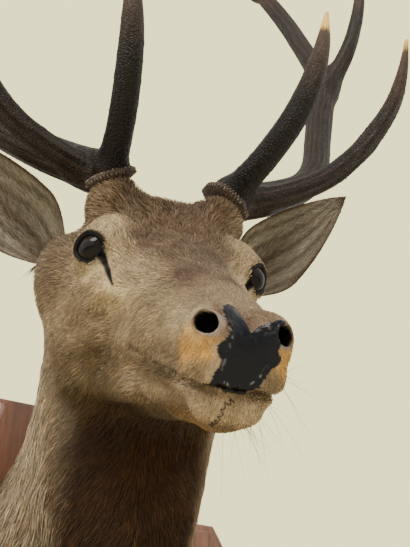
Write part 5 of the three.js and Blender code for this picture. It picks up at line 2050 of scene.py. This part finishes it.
@dataclass
class Antler:
    """One antler: beam and tines grown together, gutters and pearls, and the beaded burr."""

    side: int
    name: str
    voxel: float = 1.65
    fillet: float = 15.0
    groove: float = 0.75
    pearl: float = 0.6
    burr_axis: tuple[float, float, float] = (0.5, -0.3, 0.8)
    burr_radius: float = 27.5
    burr_thick: float = 6.5
    burr_squares: tuple[int, int] = (264, 44)  # around and from top to bottom
    beads: int = 46

    def __post_init__(self) -> None:
        """Places the antler's rods on its burr."""
        self.root = ANATOMY.on_head(ANATOMY.burr, self.side)
        self.rods = [Rod(tine, self.root, self.side) for tine in TINES]

    def measured(self, points: Array) -> tuple[Array, list[tuple[Array, Array, Array]]]:
        """Distance to the whole antler, with soft forks, and what each rod measures."""
        rows = [rod.measure(points) for rod in self.rods]
        depth = rows[0][0]
        for row in rows[1:]:
            depth = blend(depth, row[0], self.fillet)
        return depth, rows

    def grown(self) -> bpy.types.Object:
        """The beam and tines in one even surface, in millimetres."""
        bm = bmesh.new()
        for rod in self.rods:
            rod.tube(bm, 0.6)
        piece = finished(bm, f"antler_{self.name}")
        melt = piece.modifiers.new("grow together", "REMESH")
        melt.mode = "VOXEL"
        melt.voxel_size = self.voxel
        melt.adaptivity = 0.0
        view = bpy.context.evaluated_depsgraph_get()
        mesh = bpy.data.meshes.new_from_object(piece.evaluated_get(view))
        piece.modifiers.clear()
        piece.data = mesh
        for _ in range(3):
            points = read(mesh, "vertices")
            normals = read(mesh, "vertex_normals", "vector")
            depth, _ = self.measured(points)
            points = points - normals * np.clip(depth + 0.3, -2, 2)[:, None]
            put(mesh, points)
        return piece

    def relief(self, points: Array, rows: list[tuple[Array, Array, Array]]) -> tuple[Array, ...]:
        """Gutters, ridges and pearls.

        Args:
            points: Places on the antler.
            rows: What each rod measures there.

        Returns:
            Height from -1 to 1, share of the way to a tip, a vector along the grain, the pearls'
            mask and the stain.
        """
        nearest = np.min([row[0] for row in rows], axis=0)
        total, height, tips, pearls, stain = np.zeros((5, len(points)))
        grain = np.zeros((len(points), 3))
        wander = value_noise(points, 45.0, 51)
        for rod, (depth, share, angle) in zip(self.rods, rows):
            weight = np.exp(-np.clip(depth - nearest, 0, 60) / 2.5)
            along = share * rod.length
            girth = rod.girth(share)[:, 0]
            count = max(6, round(float(np.mean(rod.girth.values)) * 0.85))
            wide = np.cos(count * angle + 2.4 * wander + along * 0.012)
            narrow = np.cos((2 * count - 3) * angle - 3.0 * wander + 0.02 * along)
            own = 0.62 * np.sign(wide) * np.abs(wide) ** 0.7 + 0.38 * narrow
            tip = np.clip(2 * share - 1 + rod.tine.worn, 0, 1) if rod.tine.pointed else 0 * share
            rough = 1 - smooth(tip, 0.3, 0.9)
            height += weight * own * rough * rod.tine.gutters
            stain += weight * rod.tine.stain
            pearls += weight * rod.tine.pearls * rough
            tips += weight * tip
            grain += weight[:, None] * np.stack([np.cos(angle) * girth / 1.5, np.sin(angle) * girth / 1.5,
                                                 along / 20], -1)
            total += weight
        return height / total, tips / total, grain / total[:, None], pearls / total, stain / total

    def build(self, finish: bpy.types.Material, beaded_finish: bpy.types.Material) -> None:
        """Builds the antler and its burr."""
        piece = self.grown()
        mesh = piece.data
        points = read(mesh, "vertices")
        normals = read(mesh, "vertex_normals", "vector")
        _, rows = self.measured(points)
        height, tips, grain, beaded, stain = self.relief(points, rows)
        pearls = smooth(value_noise(points, 3.6, 52), 0.1, 0.7) * beaded
        lift = self.groove * (height - 0.35) + self.pearl * pearls
        points = (points + normals * lift[:, None]) * MM
        put(mesh, points)
        mesh.shade_smooth()
        paint(mesh, "Relief", np.clip(0.5 + 0.5 * height + 0.3 * pearls - stain, -0.2, 1.4))
        paint(mesh, "Pearls", np.clip(beaded * (1 + 0.5 * value_noise(points, 30.0, 54)), 0, 1))
        paint(mesh, "Tip", tips)
        paint(mesh, "Grain", grain)
        nodes = tuple(f"{rod.tine.name}_{self.name}" for rod in self.rods)
        dressed(piece, finish, nodes)
        self.burr(beaded_finish)

    def burr(self, finish: bpy.types.Material) -> None:
        """The burr: an uneven ring of pearls round the antler's root."""
        bm, angle, share = net(*self.burr_squares)
        up = unit(np.array([self.side * self.burr_axis[0], self.burr_axis[1], self.burr_axis[2]]))
        front = np.array([0.0, -1.0, 0.0])
        front = unit(front - up * (front @ up))
        across = np.cross(up, front)
        lift = share * math.pi
        around = np.stack([np.cos(angle), np.sin(angle), 0 * angle], -1) * 30
        uneven = value_noise(around, 9.0, 53 + self.side)
        row = np.cos(lift * 5)
        pearl = np.maximum(np.cos(self.beads * angle + (row > 0) * math.pi + 2 * uneven), -0.25)
        pearl = pearl * np.abs(row) * np.sin(lift) ** 2
        radius = (self.burr_radius - 1.2 + 1.5 * uneven) * np.sin(lift) ** 0.5 + 1.3 * pearl
        height = self.burr_thick * np.cos(lift) * 0.92 + 0.5 * pearl * np.sign(np.cos(lift))
        points = (self.root + np.outer(radius * np.cos(angle), across)
                  + np.outer(radius * np.sin(angle), front) + np.outer(height, up)) * MM
        piece = finished(bm, f"coronet_{self.name}", points)
        paint(piece.data, "Relief", np.clip(0.25 + 0.9 * pearl, 0, 1.3))
        paint(piece.data, "Pearls", 1.6 * smooth(pearl, 0.1, 0.7))
        paint(piece.data, "Tip", 0 * pearl)
        paint(piece.data, "Grain", around / 2.0 + height[:, None] / 2.0)
        dressed(piece, finish, (f"burr_{self.name}",))


# ---- Board ---------------------------------------------------------------------------------


@dataclass
class Board:
    """The shield that the head hangs on, with a moulded edge."""

    height: float = 600.0
    thick: float = WALL
    top_half: float = 88.0
    shoulder_half: float = 192.0
    belly_half: float = 222.0
    shoulder_drop: float = 112.0
    belly_drop: float = 190.0
    steps: int = 15

    @staticmethod
    def bezier(corners: list[tuple[float, float]], steps: int) -> Array:
        """Points of a Bezier curve, without its first."""
        t = np.linspace(0, 1, steps + 1)[1:, None]
        points = [np.array(c, float) for c in corners]
        while len(points) > 1:
            points = [a * (1 - t) + b * t for a, b in zip(points, points[1:])]
        return points[0]

    def outline(self) -> Array:
        """The shield's outline: across and up."""
        top = self.height / 2
        shoulder, belly = top - self.shoulder_drop, top - self.belly_drop
        t, s, b = self.top_half, self.shoulder_half, self.belly_half
        half = np.vstack([
            [(t, top)],
            self.bezier([(t, top), (t + 14, top - 60), (t + 40, shoulder + 2), (s - 26, shoulder)],
                        self.steps),
            [(s, shoulder)],
            self.bezier([(s, shoulder), (b, belly + 30), (b, belly)], self.steps // 2),
            self.bezier([(b, belly), (b, belly - 190), (96, -top + 70), (0, -top)], 2 * self.steps),
        ])
        half = np.delete(half, -2, axis=0)  # so near the point that it would cross over when inset
        return np.vstack([half, (half * [-1, 1])[-2::-1]])

    @staticmethod
    def moulding() -> list[tuple[float, float]]:
        """Steps of the edge from the side inwards: how far in and how far forward."""
        turns = np.linspace(0, math.pi / 2, 7)
        bead = np.stack([4.5 * (1 - np.cos(turns)), 4.5 * np.sin(turns)], -1)
        cove = np.stack([7.5 * np.sin(turns), 6.5 * (1 - np.cos(turns))], -1)
        steps = [tuple(s) for s in np.diff(bead, axis=0)] + [(2.2, 0.0)]
        return steps + [tuple(s) for s in np.diff(cove, axis=0)] + [(0.4, 1.6), (1.4, 0.0)]

    def build(self, finish: bpy.types.Material) -> None:
        """Builds the board."""
        bm = bmesh.new()
        corners = [bm.verts.new((x, 0.0, z)) for x, z in self.outline()]
        back = bm.faces.new(corners)
        steps = self.moulding()
        side = self.thick - sum(raised for _, raised in steps)
        made = bmesh.ops.extrude_face_region(bm, geom=[back])
        moved = [item for item in made["geom"] if isinstance(item, bmesh.types.BMVert)]
        front = next(item for item in made["geom"] if isinstance(item, bmesh.types.BMFace))
        bmesh.ops.translate(bm, verts=moved, vec=(0.0, -side, 0.0))
        bmesh.ops.recalc_face_normals(bm, faces=bm.faces)
        for inward, raised in steps:
            bmesh.ops.inset_region(bm, faces=[front], thickness=inward, depth=raised, use_even_offset=False,
                                   use_boundary=True)
        bmesh.ops.scale(bm, vec=(MM, MM, MM), verts=bm.verts)
        piece = finished(bm, "shield_board")
        piece.data.set_sharp_from_angle(angle=math.radians(28))
        dressed(piece, finish, ("board",))


# ---- Studio --------------------------------------------------------------------------------


@dataclass
class Studio:
    """Floor, soft lights, a plain cream surrounding and the camera below the head."""

    floor: float = -0.62
    camera: tuple[float, float, float] = (-0.302, -1.058, -0.252)
    yaw: float = 24.8
    pitch: float = 35.0
    focus: float = 1000.0  # focal length in pixels of the picture's height
    picture: tuple[int, int] = (410, 547)
    aim: tuple[float, float, float] = (0.0, -0.42, 0.22)
    surround: Colour = (2.0, 1.85, 0.95)  # as it is seen
    ambient: Colour = (0.74, 0.71, 0.65)  # as it lights the mount

    def floor_piece(self) -> None:
        """The pale floor, which isn't part of the mount."""
        bm = bmesh.new()
        bmesh.ops.create_grid(bm, x_segments=2, y_segments=2, size=30.0)
        bmesh.ops.translate(bm, verts=bm.verts, vec=(0.0, 0.0, self.floor))
        piece = finished(bm, "floor")
        piece.data.materials.append(FloorFinish(self.surround).make())

    def light(self, name: str, at: tuple[float, float, float], size: float, power: float,
              colour: Colour) -> None:
        """A soft lamp that shines at the head.

        Args:
            name: Its name; the key is a square, and the others are round and far away.
            at: Where it hangs.
            size: Side of the square in metres, or the far lamp's width in degrees.
            power: Watts, or watts per square metre.
            colour: Its colour.
        """
        lamp = bpy.data.lights.new(name, "AREA" if name == "key" else "SUN")
        lamp.energy, lamp.color = power, colour
        if name == "key":
            lamp.size = size
        else:
            lamp.angle = math.radians(size)
        piece = bpy.data.objects.new(name, lamp)
        piece.location = at
        piece.rotation_euler = (Vector(self.aim) - Vector(at)).to_track_quat("-Z", "Y").to_euler()
        bpy.context.scene.collection.objects.link(piece)

    def world(self) -> None:
        """A cream surround that looks brighter than it lights."""
        world = bpy.data.worlds.new("studio")
        world.use_nodes = True
        nodes = Nodes(world.node_tree)
        seen = nodes.add("ShaderNodeLightPath").outputs["Is Camera Ray"]
        nodes.feed(world.node_tree.nodes["Background"],
                   {"Color": nodes.mix(seen, self.ambient, self.surround)})
        bpy.context.scene.world = world

    def build(self) -> None:
        """Builds the studio."""
        self.floor_piece()
        self.world()
        for lamp in (("key", (-0.9, -1.6, 1.7), 0.9, 28.0, (1.0, 0.97, 0.92)),
                     ("side", (1.7, -1.3, 0.9), 90.0, 0.8, (1.0, 0.97, 0.93)),
                     ("fill", (-1.8, -1.0, 0.4), 100.0, 2.45, (1.0, 0.97, 0.93))):
            self.light(*lamp)
        eye = bpy.data.cameras.new("camera")
        eye.sensor_fit = "VERTICAL"
        eye.sensor_height = 36.0
        eye.lens = self.focus / self.picture[1] * eye.sensor_height
        piece = bpy.data.objects.new("camera", eye)
        piece.location = self.camera
        piece.rotation_euler = (math.radians(90 + self.pitch), 0.0, -math.radians(self.yaw))
        bpy.context.scene.collection.objects.link(piece)
        bpy.context.scene.camera = piece


def main() -> None:
    """Builds the mount, piece by piece."""
    logging.basicConfig(level=logging.INFO, format="%(name)s: %(message)s")
    Studio().build()
    hair = CoatFinish().make()
    head, corners = Skin().build()
    dressed(head, SkinFinish().make(), ("head", "neck", "ear_left", "ear_right"))
    Coat().build(corners, hair)
    black = LidFinish().make()
    Whiskers().build(corners, PlainFinish("whisker", (0.035, 0.022, 0.014), 0.5, 30.0, 300.0, 0.4).make())
    glass = GlassFinish().make()
    horn = AntlerFinish().make()
    coronet = AntlerFinish("burr", (0.010, 0.007, 0.005), (0.10, 0.072, 0.054), (0.42, 0.34, 0.27)).make()
    for side, name in ((1, "left"), (-1, "right")):
        Eye(side, name).build(glass, black)
        Antler(side, name).build(horn, coronet)
    Stitching().build(PlainFinish("thread", (0.055, 0.035, 0.022), 0.7, 60.0, 900.0, 0.5).make())
    Board().build(MahoganyFinish().make())


if __name__ == "__main__":
    main()
